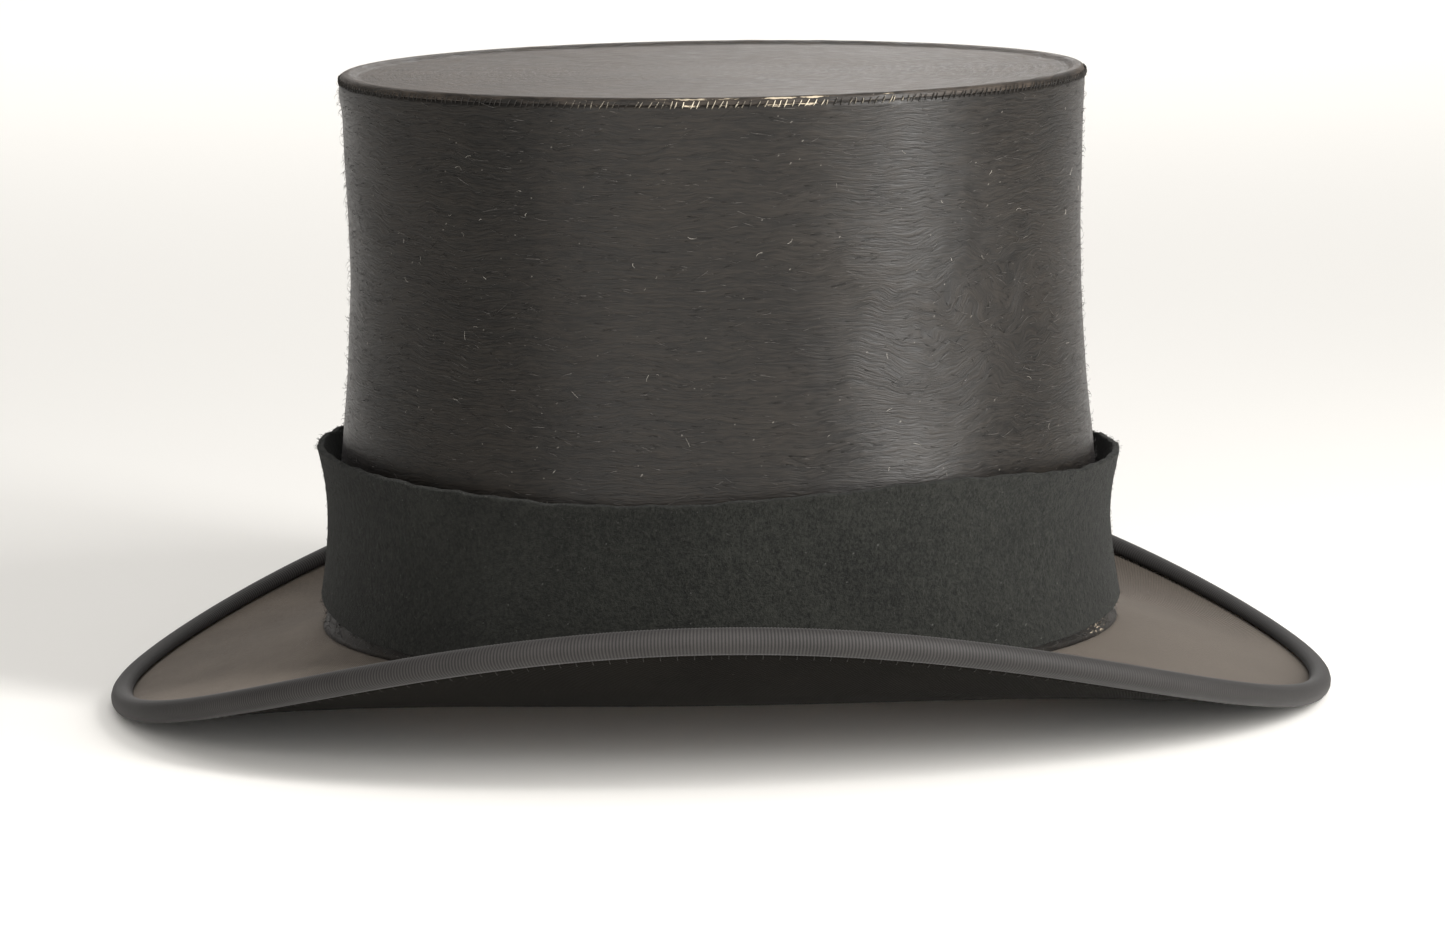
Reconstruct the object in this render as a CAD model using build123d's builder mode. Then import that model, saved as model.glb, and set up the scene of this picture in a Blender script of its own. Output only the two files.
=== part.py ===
from build123d import *
import os
from math import atan2, cos, degrees, hypot, radians, sin

# A gentleman's silk top hat, as the separate pieces that it is made from. A stiffened crown and brim
# are covered with silk plush and fine cloth, bound at the rolled brim edge with corded ribbon, and
# fitted inside with a leather sweatband and a satin lining. A loose cloth band slips up and off.
#
# Frame, in millimetres: +X is the wearer's front, +Y the wearer's left, +Z up. The origin is on the
# surface that the brim's two dips rest on, under the middle of the crown.

# ---------------------------------------------------------------- driving dimensions
# Crown: its half width is its half length less one difference, at every height.
brim_break = 18.0  # height of the brim board's middle where the crown stands on it
crown_rise = 140.5  # from there to the top of the rim
waist_rise = 90.0
waist_half_length = 91.4
foot_flare = 8.1
foot_flare_power = 1.4
rim_flare = 1.4
oval_difference = 15.9
crown_sections = 8

# Layers of the crown wall, as (inset of the outer face, inset of the inner face).
plush_layer = (0.0, 1.0)
body_layer = (1.05, 2.65)
strip_layer = (2.72, 3.12)
lining_layer = (2.95, 3.35)
leather_layer = (3.5, 4.6)
opening_inset = 2.5

# Brim: how far its rolled edge lies out from the crown's foot and up from the surface.
roll_outer_radius = 2.7
roll_middle_radius = 1.52
roll_turn = 257.0
dip_reach = 51.8
side_reach = 41.7
side_lift = 35.6
lift_power = 2.26
start_slope = (-20.0, -14.0)  # degrees, at the dips and at the sides
edge_slope = (-12.0, 47.0)
start_pull = 0.42
edge_pull = 0.38
brim_sections = 25  # in half a turn
brim_stations = [step / 8 for step in range(8)] + [0.94, 0.97] + [1 + step / 8 for step in range(9)]
brim_seam_turn = 20.0
blank_inward = 8.0  # how far the blank runs in before its opening is cut

# Layers of the brim, as lifts off its middle surface.
board_half = 0.55
cloth_layer = (0.66, 1.12)
ribbon_layer = (0.8, 1.18)
cloth_under_end = 0.935  # stations along the brim: 0 at the crown, 1 where the roll starts, 2 its end
cloth_over_end = 0.96
ribbon_under_start = 0.95
ribbon_lip_start = 1.75
ribbon_cap = 0.45
ribbon_cap_gap = 0.07

# Tip of the crown.
tip_plush_thick = 0.9
tip_margin = 3.2
tip_margin_proud = 0.9
rim_round = 0.8
tip_body_thick = 1.6
glue_gap = 0.05

# Inside of the crown.
strip_rise = 14.0
lining_foot_rise = 14.4
leather_foot = -1.5
leather_rise = 50.0
reed_radius = 0.8
tip_lining_thick = 0.5
piping_radius = 0.7

# Stitching.
thread_radius = 0.25
stitch_gap = 0.15
tip_stitch_count = 132
tip_stitch_length = 1.9
tip_stitch_lean = 68.0
sweat_stitch_count = 104
sweat_stitch_rise = 2.4
sweat_stitch_length = 2.2
ribbon_stitch_count = 120
ribbon_stitch_station = 0.915
ribbon_stitch_length = 2.4

# Cloth band: a waisted ring, flared a little at the foot and at the top.
band_foot = 21.0
band_top = 64.5
band_waist = 50.0
band_waist_half_length = 98.45
band_foot_flare = 3.45
band_top_flare = 1.55
band_sections = 6
band_thick = 1.8
lap_angle = 97.0  # turn round the hat of the lap's middle
lap_width = 24.0
lap_thick = 1.5
lap_margin = 0.6
lap_stitch_count = 9
lap_stitch_length = 2.6
lap_stitch_inset = 2.2

# Ribbon bow on the sweatband, at the back.
bow_rise = 12.0
bow_stand_off = 3.2
bow_thick = 1.1
bow_loop = (11.0, 8.0)
bow_waist = 3.0
bow_tail = (10.5, 4.4)
bow_tail_lean = 24.0
knot_size = (2.0, 4.4, 5.0)
knot_round = 0.7

os.makedirs("parts", exist_ok=True)

# ---------------------------------------------------------------- shared shapes
rim_top = brim_break + crown_rise
foot_half_length = waist_half_length + foot_flare
tip_seam = rim_top - tip_margin_proud - tip_plush_thick
wall_top = tip_seam - glue_gap - tip_body_thick - glue_gap


def mix(a, b, share):
    """The value that lies this share of the way from a to b."""
    return a + (b - a) * share


def half_length(height):
    """Half the crown's outer length at this height."""
    rise = height - brim_break
    if rise < waist_rise:
        return waist_half_length + foot_flare * (1 - rise / waist_rise) ** foot_flare_power
    return waist_half_length + rim_flare * ((rise - waist_rise) / (crown_rise - waist_rise)) ** 2


def oval_face(height, half):
    """A level oval face of this half length."""
    with BuildSketch(Plane.XY.offset(height)) as oval:
        Ellipse(half, half - oval_difference)
    return oval.sketch.face()


def crown_ovals(low, high, inset):
    """Ovals of the crown from one height to another, this far inside its outer face."""
    heights = [mix(low, high, step / (crown_sections - 1)) for step in range(crown_sections)]
    return [oval_face(height, half_length(height) - inset) for height in heights]


def band_half_length(height):
    """Half the cloth band's outer length at this height."""
    if height < band_waist:
        share = (band_waist - height) / (band_waist - band_foot)
        return band_waist_half_length + band_foot_flare * share**2
    share = (height - band_waist) / (band_top - band_waist)
    return band_waist_half_length + band_top_flare * share**2


def band_ovals(lift):
    """Ovals of the cloth band from its foot to its top, this far outside its outer face."""
    heights = [mix(band_foot, band_top, step / (band_sections - 1)) for step in range(band_sections)]
    return [oval_face(height, band_half_length(height) + lift) for height in heights]


def oval_path(height, inset):
    """The crown's oval outline at this height, this far inside its outer face."""
    return oval_face(height, half_length(height) - inset).outer_wire()


def oval_plane(turn, height, half):
    """The plane standing on the oval at this turn: Z along its outward normal, X along the oval."""
    across = half - oval_difference
    place = (half * cos(radians(turn)), across * sin(radians(turn)), height)
    along = (-half * sin(radians(turn)), across * cos(radians(turn)), 0)
    outward = (across * cos(radians(turn)), half * sin(radians(turn)), 0)
    return Plane(origin=place, x_dir=along, z_dir=outward)


def stitch(plane, length, lean=0.0):
    """One stitch centred on a plane's origin and lying in it, at this lean from its X."""
    half_span = (length / 2 * cos(radians(lean)), length / 2 * sin(radians(lean)), 0)
    start, end = plane.from_local_coords(Vector(half_span) * -1), plane.from_local_coords(half_span)
    return Solid.make_cylinder(thread_radius, length, Plane(start, z_dir=end - start))


def brim_middle(turn, station):
    """(out, up, slope x, slope y) on the brim's middle surface, measured from the crown's foot."""
    ahead, aside = cos(radians(turn)), sin(radians(turn))
    lift = abs(aside) ** lift_power
    reach = hypot(dip_reach * ahead, side_reach * aside)
    centre = (reach, roll_outer_radius + side_lift * lift - brim_break)
    heading = mix(*edge_slope, lift)
    if station > 1:
        heading += roll_turn * (station - 1)
    aim = (cos(radians(heading)), sin(radians(heading)))
    edge = (centre[0] + roll_middle_radius * aim[1], centre[1] - roll_middle_radius * aim[0])
    if station > 1:
        return (*edge, *aim)
    start = radians(mix(*start_slope, lift))
    near = (start_pull * reach * cos(start), start_pull * reach * sin(start))
    far = (edge[0] - edge_pull * reach * aim[0], edge[1] - edge_pull * reach * aim[1])
    rest = 1 - station
    place = [
        3 * rest**2 * station * near[axis] + 3 * rest * station**2 * far[axis] + station**3 * edge[axis]
        for axis in (0, 1)
    ]
    slope = [
        rest**2 * near[axis] + 2 * rest * station * (far[axis] - near[axis])
        + station**2 * (edge[axis] - far[axis])
        for axis in (0, 1)
    ]
    return (*place, slope[0] / hypot(*slope), slope[1] / hypot(*slope))


def brim_point(turn, station, lift, onward=0.0):
    """(out, up) of a point lifted off the brim's middle surface, and moved on along it."""
    out, up, ahead, rise = brim_middle(turn, station)
    return (out - lift * rise + onward * ahead, up + lift * ahead + onward * rise)


def brim_plane(turn):
    """The upright plane through the brim at this turn: X runs out from the crown's foot, Y up."""
    ahead, aside = cos(radians(turn)), sin(radians(turn))
    foot = (foot_half_length * ahead, (foot_half_length - oval_difference) * aside, brim_break)
    outward = (dip_reach * ahead, side_reach * aside, 0)
    return Plane(origin=foot, x_dir=outward, z_dir=(outward[1], -outward[0], 0))


def stations(start, end):
    """Stations from start to end, closest together along the roll and just before it."""
    return [start, *(station for station in brim_stations if start < station < end), end]


def layer_section(turn, low, high, end):
    """The cut through one layer of the brim, from under the crown out to a station."""
    under = [brim_point(turn, station, low) for station in stations(0, end)]
    over = [brim_point(turn, station, high) for station in stations(0, end)]
    with BuildSketch(brim_plane(turn)) as section:
        with BuildLine():
            Line((-blank_inward, low), under[0])
            Spline(*under)
            Line(under[-1], over[-1])
            Spline(*reversed(over))
            Line(over[0], (-blank_inward, high))
            Line((-blank_inward, high), (-blank_inward, low))
        make_face()
    return section.sketch.face()


def ribbon_section(turn):
    """The cut through the ribbon that wraps the rolled edge of the brim."""
    near, far = ribbon_layer
    outer = [brim_point(turn, station, -far) for station in stations(ribbon_under_start, 2)]
    inner = [brim_point(turn, station, -near) for station in stations(ribbon_under_start, 2)]
    lip_outer = [brim_point(turn, station, far) for station in stations(ribbon_lip_start, 2)]
    lip_inner = [brim_point(turn, station, near) for station in stations(ribbon_lip_start, 2)]
    caps = [brim_point(turn, 2, lift, ribbon_cap) for lift in (-far, far)]
    gaps = [brim_point(turn, 2, lift, ribbon_cap_gap) for lift in (near, -near)]
    with BuildSketch(brim_plane(turn)) as section:
        with BuildLine():
            Spline(*outer)
            Polyline(outer[-1], *caps, lip_outer[-1])
            Spline(*reversed(lip_outer))
            Line(lip_outer[0], lip_inner[0])
            Spline(*lip_inner)
            Polyline(lip_inner[-1], *gaps, inner[-1])
            Spline(*reversed(inner))
            Line(inner[0], outer[0])
        make_face()
    return section.sketch.face()


def opening(inset):
    """The oval hole through the brim, as a prism."""
    half = foot_half_length - inset
    with BuildPart(mode=Mode.PRIVATE) as hole:
        with BuildSketch(Plane.XY.offset(brim_break - blank_inward)):
            Ellipse(half, half - oval_difference)
        extrude(amount=2 * blank_inward)
    return hole.part


def half_turns():
    """The turns of the sections of each half of the brim; the two halves meet at the brim's seams."""
    for start in (brim_seam_turn, brim_seam_turn + 180):
        yield [start + 180 * step / (brim_sections - 1) for step in range(brim_sections)]


# ---------------------------------------------------------------- crown
with BuildPart() as crown_side_body:
    loft(crown_ovals(brim_break + board_half + glue_gap, wall_top, body_layer[0]))
    loft(crown_ovals(brim_break + board_half + glue_gap, wall_top, body_layer[1]), mode=Mode.SUBTRACT)

crown_side_body.part.label = "crown_side_body"
export_step(crown_side_body.part, "parts/crown_side_body.step")

with BuildPart() as tip_body:
    with BuildSketch(Plane.XY.offset(wall_top + glue_gap)):
        tip_half = half_length(wall_top) - body_layer[0] - glue_gap
        Ellipse(tip_half, tip_half - oval_difference)
    extrude(amount=tip_body_thick)

tip_body.part.label = "tip_body"
export_step(tip_body.part, "parts/tip_body.step")

with BuildPart() as crown_plush:
    plush_foot = brim_break + cloth_layer[1] + glue_gap
    loft(crown_ovals(plush_foot, tip_seam - glue_gap, plush_layer[0]))
    loft(crown_ovals(plush_foot, tip_seam - glue_gap, plush_layer[1]), mode=Mode.SUBTRACT)

crown_plush.part.label = "crown_plush"
export_step(crown_plush.part, "parts/crown_plush.step")

with BuildPart() as tip_plush:
    rim_half = half_length(tip_seam)
    with BuildSketch(Plane.XY.offset(tip_seam)):
        Ellipse(rim_half, rim_half - oval_difference)
    extrude(amount=tip_plush_thick + tip_margin_proud)
    with BuildSketch(Plane.XY.offset(rim_top)):
        dish_half = rim_half - tip_margin
        Ellipse(dish_half, dish_half - oval_difference)
    extrude(amount=-tip_margin_proud, mode=Mode.SUBTRACT)
    rim_faces = tip_plush.faces().filter_by(Plane.XY).sort_by(Axis.Z)
    fillet(rim_faces[-1].outer_wire().edges(), rim_round)

tip_plush.part.label = "tip_plush"
export_step(tip_plush.part, "parts/tip_plush.step")

with BuildPart() as tip_edge_stitches:
    for step in range(tip_stitch_count):
        seam = oval_plane(360 * step / tip_stitch_count, tip_seam, rim_half + thread_radius + stitch_gap)
        add(stitch(seam, tip_stitch_length, tip_stitch_lean))

tip_edge_stitches.part.label = "tip_edge_stitches"
export_step(tip_edge_stitches.part, "parts/tip_edge_stitches.step")

# ---------------------------------------------------------------- brim
with BuildPart() as brim_body:
    for turns in half_turns():
        loft([layer_section(turn, -board_half, board_half, 2) for turn in turns])
    add(opening(opening_inset), mode=Mode.SUBTRACT)

brim_body.part.label = "brim_body"
export_step(brim_body.part, "parts/brim_body.step")

with BuildPart() as brim_top_cloth:
    for turns in half_turns():
        loft([layer_section(turn, *cloth_layer, cloth_over_end) for turn in turns])
    add(opening(plush_layer[1]), mode=Mode.SUBTRACT)

brim_top_cloth.part.label = "brim_top_cloth"
export_step(brim_top_cloth.part, "parts/brim_top_cloth.step")

with BuildPart() as brim_under_cloth:
    for turns in half_turns():
        loft([layer_section(turn, -cloth_layer[1], -cloth_layer[0], cloth_under_end) for turn in turns])
    add(opening(opening_inset), mode=Mode.SUBTRACT)

brim_under_cloth.part.label = "brim_under_cloth"
export_step(brim_under_cloth.part, "parts/brim_under_cloth.step")

with BuildPart() as brim_binding:
    for turns in half_turns():
        loft([ribbon_section(turn) for turn in turns])

brim_binding.part.label = "brim_binding"
export_step(brim_binding.part, "parts/brim_binding.step")

ribbon_stitch_lift = -cloth_layer[1] - thread_radius - stitch_gap

with BuildPart() as binding_stitches:
    for step in range(ribbon_stitch_count):
        turn = 360 * (step + 0.5) / ribbon_stitch_count
        lean = degrees(atan2(*reversed(brim_middle(turn, ribbon_stitch_station)[2:])))
        cut = brim_plane(turn)
        cut.origin = cut.from_local_coords((*brim_point(turn, ribbon_stitch_station, ribbon_stitch_lift), 0))
        add(stitch(cut, ribbon_stitch_length, lean))

binding_stitches.part.label = "binding_stitches"
export_step(binding_stitches.part, "parts/binding_stitches.step")

with BuildPart() as joining_strip:
    strip_foot = brim_break - board_half
    loft(crown_ovals(strip_foot, brim_break + strip_rise, strip_layer[0]))
    loft(crown_ovals(strip_foot, brim_break + strip_rise, strip_layer[1]), mode=Mode.SUBTRACT)

joining_strip.part.label = "joining_strip"
export_step(joining_strip.part, "parts/joining_strip.step")

# ---------------------------------------------------------------- inside of the crown
with BuildPart() as sweatband:
    leather_low = brim_break + leather_foot
    loft(crown_ovals(leather_low, brim_break + leather_rise, leather_layer[0]))
    loft(crown_ovals(leather_low, brim_break + leather_rise, leather_layer[1]), mode=Mode.SUBTRACT)

sweatband.part.label = "sweatband"
export_step(sweatband.part, "parts/sweatband.step")

with BuildPart() as sweatband_reed:
    reed_height = leather_low - reed_radius - glue_gap
    reed_half = half_length(reed_height) - sum(leather_layer) / 2
    with BuildSketch(Plane.XZ):
        with Locations((reed_half, reed_height)):
            Circle(reed_radius)
    sweep(path=oval_path(reed_height, sum(leather_layer) / 2))

sweatband_reed.part.label = "sweatband_reed"
export_step(sweatband_reed.part, "parts/sweatband_reed.step")

with BuildPart() as sweatband_stitches:
    sweat_stitch_height = brim_break + sweat_stitch_rise
    sweat_stitch_half = half_length(sweat_stitch_height) - leather_layer[1] - thread_radius - stitch_gap
    for step in range(sweat_stitch_count):
        turn = 360 * (step + 0.5) / sweat_stitch_count
        add(stitch(oval_plane(turn, sweat_stitch_height, sweat_stitch_half), sweat_stitch_length))

sweatband_stitches.part.label = "sweatband_stitches"
export_step(sweatband_stitches.part, "parts/sweatband_stitches.step")

bow_height = brim_break + bow_rise
bow_back = half_length(bow_height) - leather_layer[1] - bow_stand_off
bow_plane = Plane(origin=(-bow_back, 0, bow_height), x_dir=(0, 1, 0), z_dir=(1, 0, 0))

with BuildPart() as sweatband_bow:
    with BuildSketch(bow_plane) as bow_outline:
        for side in (-1, 1):
            with BuildLine():
                Spline(
                    (side * knot_size[1] / 2, bow_waist / 2),
                    (side * bow_loop[0] * 0.75, bow_loop[1] / 2),
                    (side * bow_loop[0], 0),
                    (side * bow_loop[0] * 0.75, -bow_loop[1] / 2),
                    (side * knot_size[1] / 2, -bow_waist / 2),
                )
                Line((side * knot_size[1] / 2, -bow_waist / 2), (side * knot_size[1] / 2, bow_waist / 2))
            make_face()
    extrude(amount=bow_thick)
    with BuildSketch(bow_plane) as tails_outline:
        for side in (-1, 1):
            with Locations(Location((side * bow_waist, -knot_size[2] / 2), side * bow_tail_lean)):
                Rectangle(bow_tail[1], bow_tail[0], align=(Align.CENTER, Align.MAX))
    extrude(amount=bow_thick)

sweatband_bow.part.label = "sweatband_bow"
export_step(sweatband_bow.part, "parts/sweatband_bow.step")

with BuildPart() as sweatband_bow_knot:
    with BuildSketch(bow_plane.offset(bow_thick + glue_gap)):
        Rectangle(knot_size[1], knot_size[2])
    extrude(amount=knot_size[0])
    fillet(sweatband_bow_knot.faces().sort_by(Axis.X)[-1].edges(), knot_round)

sweatband_bow_knot.part.label = "sweatband_bow_knot"
export_step(sweatband_bow_knot.part, "parts/sweatband_bow_knot.step")

tip_lining_foot = wall_top - glue_gap - tip_lining_thick
lining_top = tip_lining_foot - 2 * piping_radius - glue_gap

with BuildPart() as side_lining:
    loft(crown_ovals(brim_break + lining_foot_rise, lining_top, lining_layer[0]))
    loft(crown_ovals(brim_break + lining_foot_rise, lining_top, lining_layer[1]), mode=Mode.SUBTRACT)

side_lining.part.label = "side_lining"
export_step(side_lining.part, "parts/side_lining.step")

with BuildPart() as tip_lining:
    with BuildSketch(Plane.XY.offset(tip_lining_foot)):
        lining_half = half_length(lining_top) - lining_layer[0]
        Ellipse(lining_half, lining_half - oval_difference)
    extrude(amount=tip_lining_thick)

tip_lining.part.label = "tip_lining"
export_step(tip_lining.part, "parts/tip_lining.step")

with BuildPart() as lining_piping:
    piping_height = tip_lining_foot - piping_radius - glue_gap / 2
    piping_inset = lining_layer[0] + piping_radius
    with BuildSketch(Plane.XZ):
        with Locations((half_length(piping_height) - piping_inset, piping_height)):
            Circle(piping_radius - glue_gap / 2)
    sweep(path=oval_path(piping_height, piping_inset))

lining_piping.part.label = "lining_piping"
export_step(lining_piping.part, "parts/lining_piping.step")

# ---------------------------------------------------------------- cloth band
lap_plane = oval_plane(lap_angle, (band_foot + band_top) / 2, band_half_length(band_waist))

with BuildPart() as lap_window:
    with BuildSketch(lap_plane):
        Rectangle(lap_width, band_top - band_foot - 2 * lap_margin)
    extrude(amount=4 * lap_thick, both=True)

with BuildPart() as cloth_band:
    loft(band_ovals(lap_thick))
    add(lap_window.part, mode=Mode.INTERSECT)
    loft(band_ovals(0))
    loft(band_ovals(-band_thick), mode=Mode.SUBTRACT)

cloth_band.part.label = "cloth_band"
export_step(cloth_band.part, "parts/cloth_band.step")

with BuildPart() as band_lap_stitches:
    edge_across = lap_width / 2 - lap_stitch_inset
    pitch = (band_top - band_foot - 2 * lap_margin) / lap_stitch_count
    for step in range(lap_stitch_count):
        rise = band_foot + lap_margin + (step + 0.5) * pitch
        half = band_half_length(rise) + lap_thick + thread_radius + stitch_gap
        turn = lap_angle + degrees(edge_across / half)
        add(stitch(oval_plane(turn, rise, half), lap_stitch_length))

band_lap_stitches.part.label = "band_lap_stitches"
export_step(band_lap_stitches.part, "parts/band_lap_stitches.step")
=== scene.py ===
"""Looks of an old gentleman's silk top hat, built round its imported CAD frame.

The crown is covered with brushed silk plush, the brim with faded cloth and a corded ribbon binding,
and a loose woollen band stands round the foot of the crown. Every piece is made in metres in the
frame's own axes: +X is the wearer's front, +Y the wearer's left and +Z up.
"""

import logging
import math
import random
from dataclasses import dataclass, field
from enum import Enum
from typing import Callable, Iterable, Sequence

import bpy
from mathutils import Matrix, Vector


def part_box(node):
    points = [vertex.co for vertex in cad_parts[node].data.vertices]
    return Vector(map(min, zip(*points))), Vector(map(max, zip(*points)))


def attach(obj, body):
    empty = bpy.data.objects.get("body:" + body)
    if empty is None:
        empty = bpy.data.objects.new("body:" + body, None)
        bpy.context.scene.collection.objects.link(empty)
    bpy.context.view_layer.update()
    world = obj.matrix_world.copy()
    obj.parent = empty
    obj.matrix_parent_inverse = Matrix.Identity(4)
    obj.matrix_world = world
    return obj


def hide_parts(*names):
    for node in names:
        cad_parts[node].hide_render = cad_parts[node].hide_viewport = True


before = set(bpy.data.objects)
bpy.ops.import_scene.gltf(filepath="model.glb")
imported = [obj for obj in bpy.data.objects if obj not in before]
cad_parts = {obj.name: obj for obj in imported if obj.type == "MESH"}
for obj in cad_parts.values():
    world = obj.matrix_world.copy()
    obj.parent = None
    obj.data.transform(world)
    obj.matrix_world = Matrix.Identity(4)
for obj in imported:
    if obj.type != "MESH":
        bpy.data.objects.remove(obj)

logging.basicConfig(level=logging.INFO, format="%(message)s")
log = logging.getLogger("top_hat")

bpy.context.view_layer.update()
MM = 0.001
TAU = 2 * math.pi

Place = tuple[float, float, float]
Placer = Callable[[float, float], Place]
Colour = tuple[float, float, float]
Shell = tuple[list[Place], list[list[int]]]

NEAR_SIDE = 1.5 * math.pi  # the wearer's right
BACK = math.pi
UP = Vector((0, 0, 1))
DUST = (0.30, 0.28, 0.25)
MERGE_WITHIN = 1e-7


class Slot(Enum):
    """Names of the record's material slots."""

    PLUSH = "silk_plush"
    WORN_THREAD = "worn_thread"
    BRIM_CLOTH = "brim_cloth"
    UNDER_CLOTH = "under_cloth"
    RIBBON = "corded_ribbon"
    BLACK_THREAD = "black_thread"
    LEATHER = "sweatband_leather"
    REED = "reed"
    BOW = "bow_ribbon"
    LINING = "satin_lining"
    BAND = "band_cloth"


class Body(Enum):
    """The bodies of the frame that pieces ride on."""

    HAT = "hat"
    BAND = "band"


# ------------------------------------------------------------------ small maths
def mix(a: float, b: float, share: float) -> float:
    """The value that lies this share of the way from a to b."""
    return a + (b - a) * share


def smooth(low: float, high: float, value: float) -> float:
    """A soft step from 0 at low to 1 at high."""
    share = min(1.0, max(0.0, (value - low) / (high - low)))
    return share * share * (3 - 2 * share)


def bump(value: float, middle: float, width: float) -> float:
    """A soft bell, 1 at its middle and fading over its width."""
    return math.exp(-(((value - middle) / width) ** 2))


def turn_gap(turn: float, middle: float) -> float:
    """The least turn from middle to turn, in radians, with its sign."""
    return (turn - middle + math.pi) % TAU - math.pi


def bell(turn: float, middle: float, width: float) -> float:
    """A soft bell round the hat, 1 at its middle turn."""
    return bump(turn_gap(turn, middle), 0.0, width)


def sideways(outward: Vector) -> Vector:
    """The level direction round the hat, at right angles to a level outward one."""
    return Vector((-outward.y, outward.x, 0))


class Ripple:
    """A smooth random wave round the hat, the same on every run."""

    def __init__(self, seed: int, orders: Sequence[int], size: float) -> None:
        """Choose the wave.

        Args:
            seed: The seed of its random phases.
            orders: How many waves each part of it has in a full turn.
            size: Its rough height, in metres.
        """
        dice = random.Random(seed)
        self.parts = [(order, dice.uniform(0, TAU), dice.uniform(0.5, 1.0)) for order in orders]
        self.size = size / max(1.0, math.sqrt(len(self.parts)))

    def __call__(self, turn: float) -> float:
        """The wave's height at this turn."""
        return self.size * sum(weight * math.sin(order * turn + phase) for order, phase, weight in self.parts)


# ------------------------------------------------------------------ shapes of the hat
@dataclass(frozen=True)
class CrownShape:
    """The oval crown's outer face, waisted and flared to its foot and to its rim."""

    break_height: float = 18.0 * MM
    rise: float = 140.5 * MM
    waist_rise: float = 90.0 * MM
    waist_half_length: float = 91.4 * MM
    foot_flare: float = 8.1 * MM
    foot_power: float = 1.4
    rim_flare: float = 1.4 * MM
    difference: float = 15.9 * MM

    def half_length(self, height: float) -> float:
        """Half the crown's length at this height."""
        up = height - self.break_height
        if up < self.waist_rise:
            return self.waist_half_length + self.foot_flare * (1 - up / self.waist_rise) ** self.foot_power
        share = (up - self.waist_rise) / (self.rise - self.waist_rise)
        return self.waist_half_length + self.rim_flare * share**2

    def point(self, turn: float, height: float, inset: float = 0.0) -> Place:
        """A point of the crown.

        Args:
            turn: Turn round the oval, 0 at the front, in radians.
            height: Height above the surface that the hat stands on.
            inset: How far inside the outer face it lies.

        Returns:
            The point, in metres.
        """
        half = self.half_length(height) - inset
        return half * math.cos(turn), (half - self.difference) * math.sin(turn), height

    def outward(self, turn: float, height: float) -> Vector:
        """The level direction out of the crown at this turn."""
        half = self.half_length(height)
        return Vector(((half - self.difference) * math.cos(turn), half * math.sin(turn), 0)).normalized()


@dataclass(frozen=True)
class BrimShape:
    """The brim's middle surface: a dipping, side-curled sheet whose edge is rolled over."""

    break_height: float = 18.0 * MM
    foot_half_length: float = 99.5 * MM
    foot_half_width: float = 83.6 * MM
    dip_reach: float = 51.8 * MM
    side_reach: float = 41.7 * MM
    side_lift: float = 35.6 * MM
    lift_power: float = 2.26
    roll_outer: float = 2.7 * MM
    roll_middle: float = 1.52 * MM
    roll_turn: float = math.radians(257)
    start_slope: tuple[float, float] = (math.radians(-20), math.radians(-14))
    edge_slope: tuple[float, float] = (math.radians(-12), math.radians(47))
    start_pull: float = 0.42
    edge_pull: float = 0.38

    def middle(self, turn: float, station: float) -> tuple[Vector, Vector]:
        """The middle surface's cut at this turn.

        Args:
            turn: Turn round the oval, 0 at the front, in radians.
            station: 0 at the crown, 1 where the roll starts and 2 at the end of the roll.

        Returns:
            The point, as (out, up) from the crown's foot, and the direction onwards.
        """
        ahead, aside = math.cos(turn), math.sin(turn)
        lift = abs(aside) ** self.lift_power
        reach = math.hypot(self.dip_reach * ahead, self.side_reach * aside)
        centre = Vector((reach, self.roll_outer + self.side_lift * lift - self.break_height))
        heading = mix(*self.edge_slope, lift) + self.roll_turn * max(0.0, station - 1)
        aim = Vector((math.cos(heading), math.sin(heading)))
        edge = centre + self.roll_middle * Vector((aim.y, -aim.x))
        if station > 1:
            return edge, aim
        start = mix(*self.start_slope, lift)
        near = self.start_pull * reach * Vector((math.cos(start), math.sin(start)))
        far = edge - self.edge_pull * reach * aim
        rest = 1 - station
        place = 3 * rest**2 * station * near + 3 * rest * station**2 * far + station**3 * edge
        slope = rest**2 * near + 2 * rest * station * (far - near) + station**2 * (edge - far)
        return place, slope.normalized()

    def point(self, turn: float, station: float, lift: float = 0.0, onward: float = 0.0) -> Place:
        """A point lifted off the middle surface, and moved on along its cut.

        Args:
            turn: Turn round the oval, in radians.
            station: As in middle, or below 0 for a point that far inside the crown's foot, in metres.
            lift: How far above the middle surface it lies.
            onward: How far on along the cut it lies.

        Returns:
            The point, in metres.
        """
        place, aim = self.middle(turn, max(0.0, station))
        out = place.x - lift * aim.y + onward * aim.x + min(0.0, station)
        up = place.y + lift * aim.x + onward * aim.y
        ahead, aside = math.cos(turn), math.sin(turn)
        away = Vector((self.dip_reach * ahead, self.side_reach * aside)).normalized()
        return (
            self.foot_half_length * ahead + out * away.x,
            self.foot_half_width * aside + out * away.y,
            self.break_height + up,
        )


CROWN = CrownShape()
BRIM = BrimShape()


# ------------------------------------------------------------------ mesh work
def pick_nothing() -> None:
    """Leave edit mode and deselect every object."""
    if bpy.context.object is not None and bpy.context.object.mode != "OBJECT":
        bpy.ops.object.mode_set(mode="OBJECT")
    bpy.ops.object.select_all(action="DESELECT")


def apply_modifier(piece: bpy.types.Object, kind: str, **settings: object) -> None:
    """Add a modifier to a piece, set it and apply it."""
    modifier = piece.modifiers.new(kind.lower(), kind)
    for name, value in settings.items():
        setattr(modifier, name, value)
    bpy.context.view_layer.objects.active = piece
    bpy.ops.object.modifier_apply(modifier=modifier.name)


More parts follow.
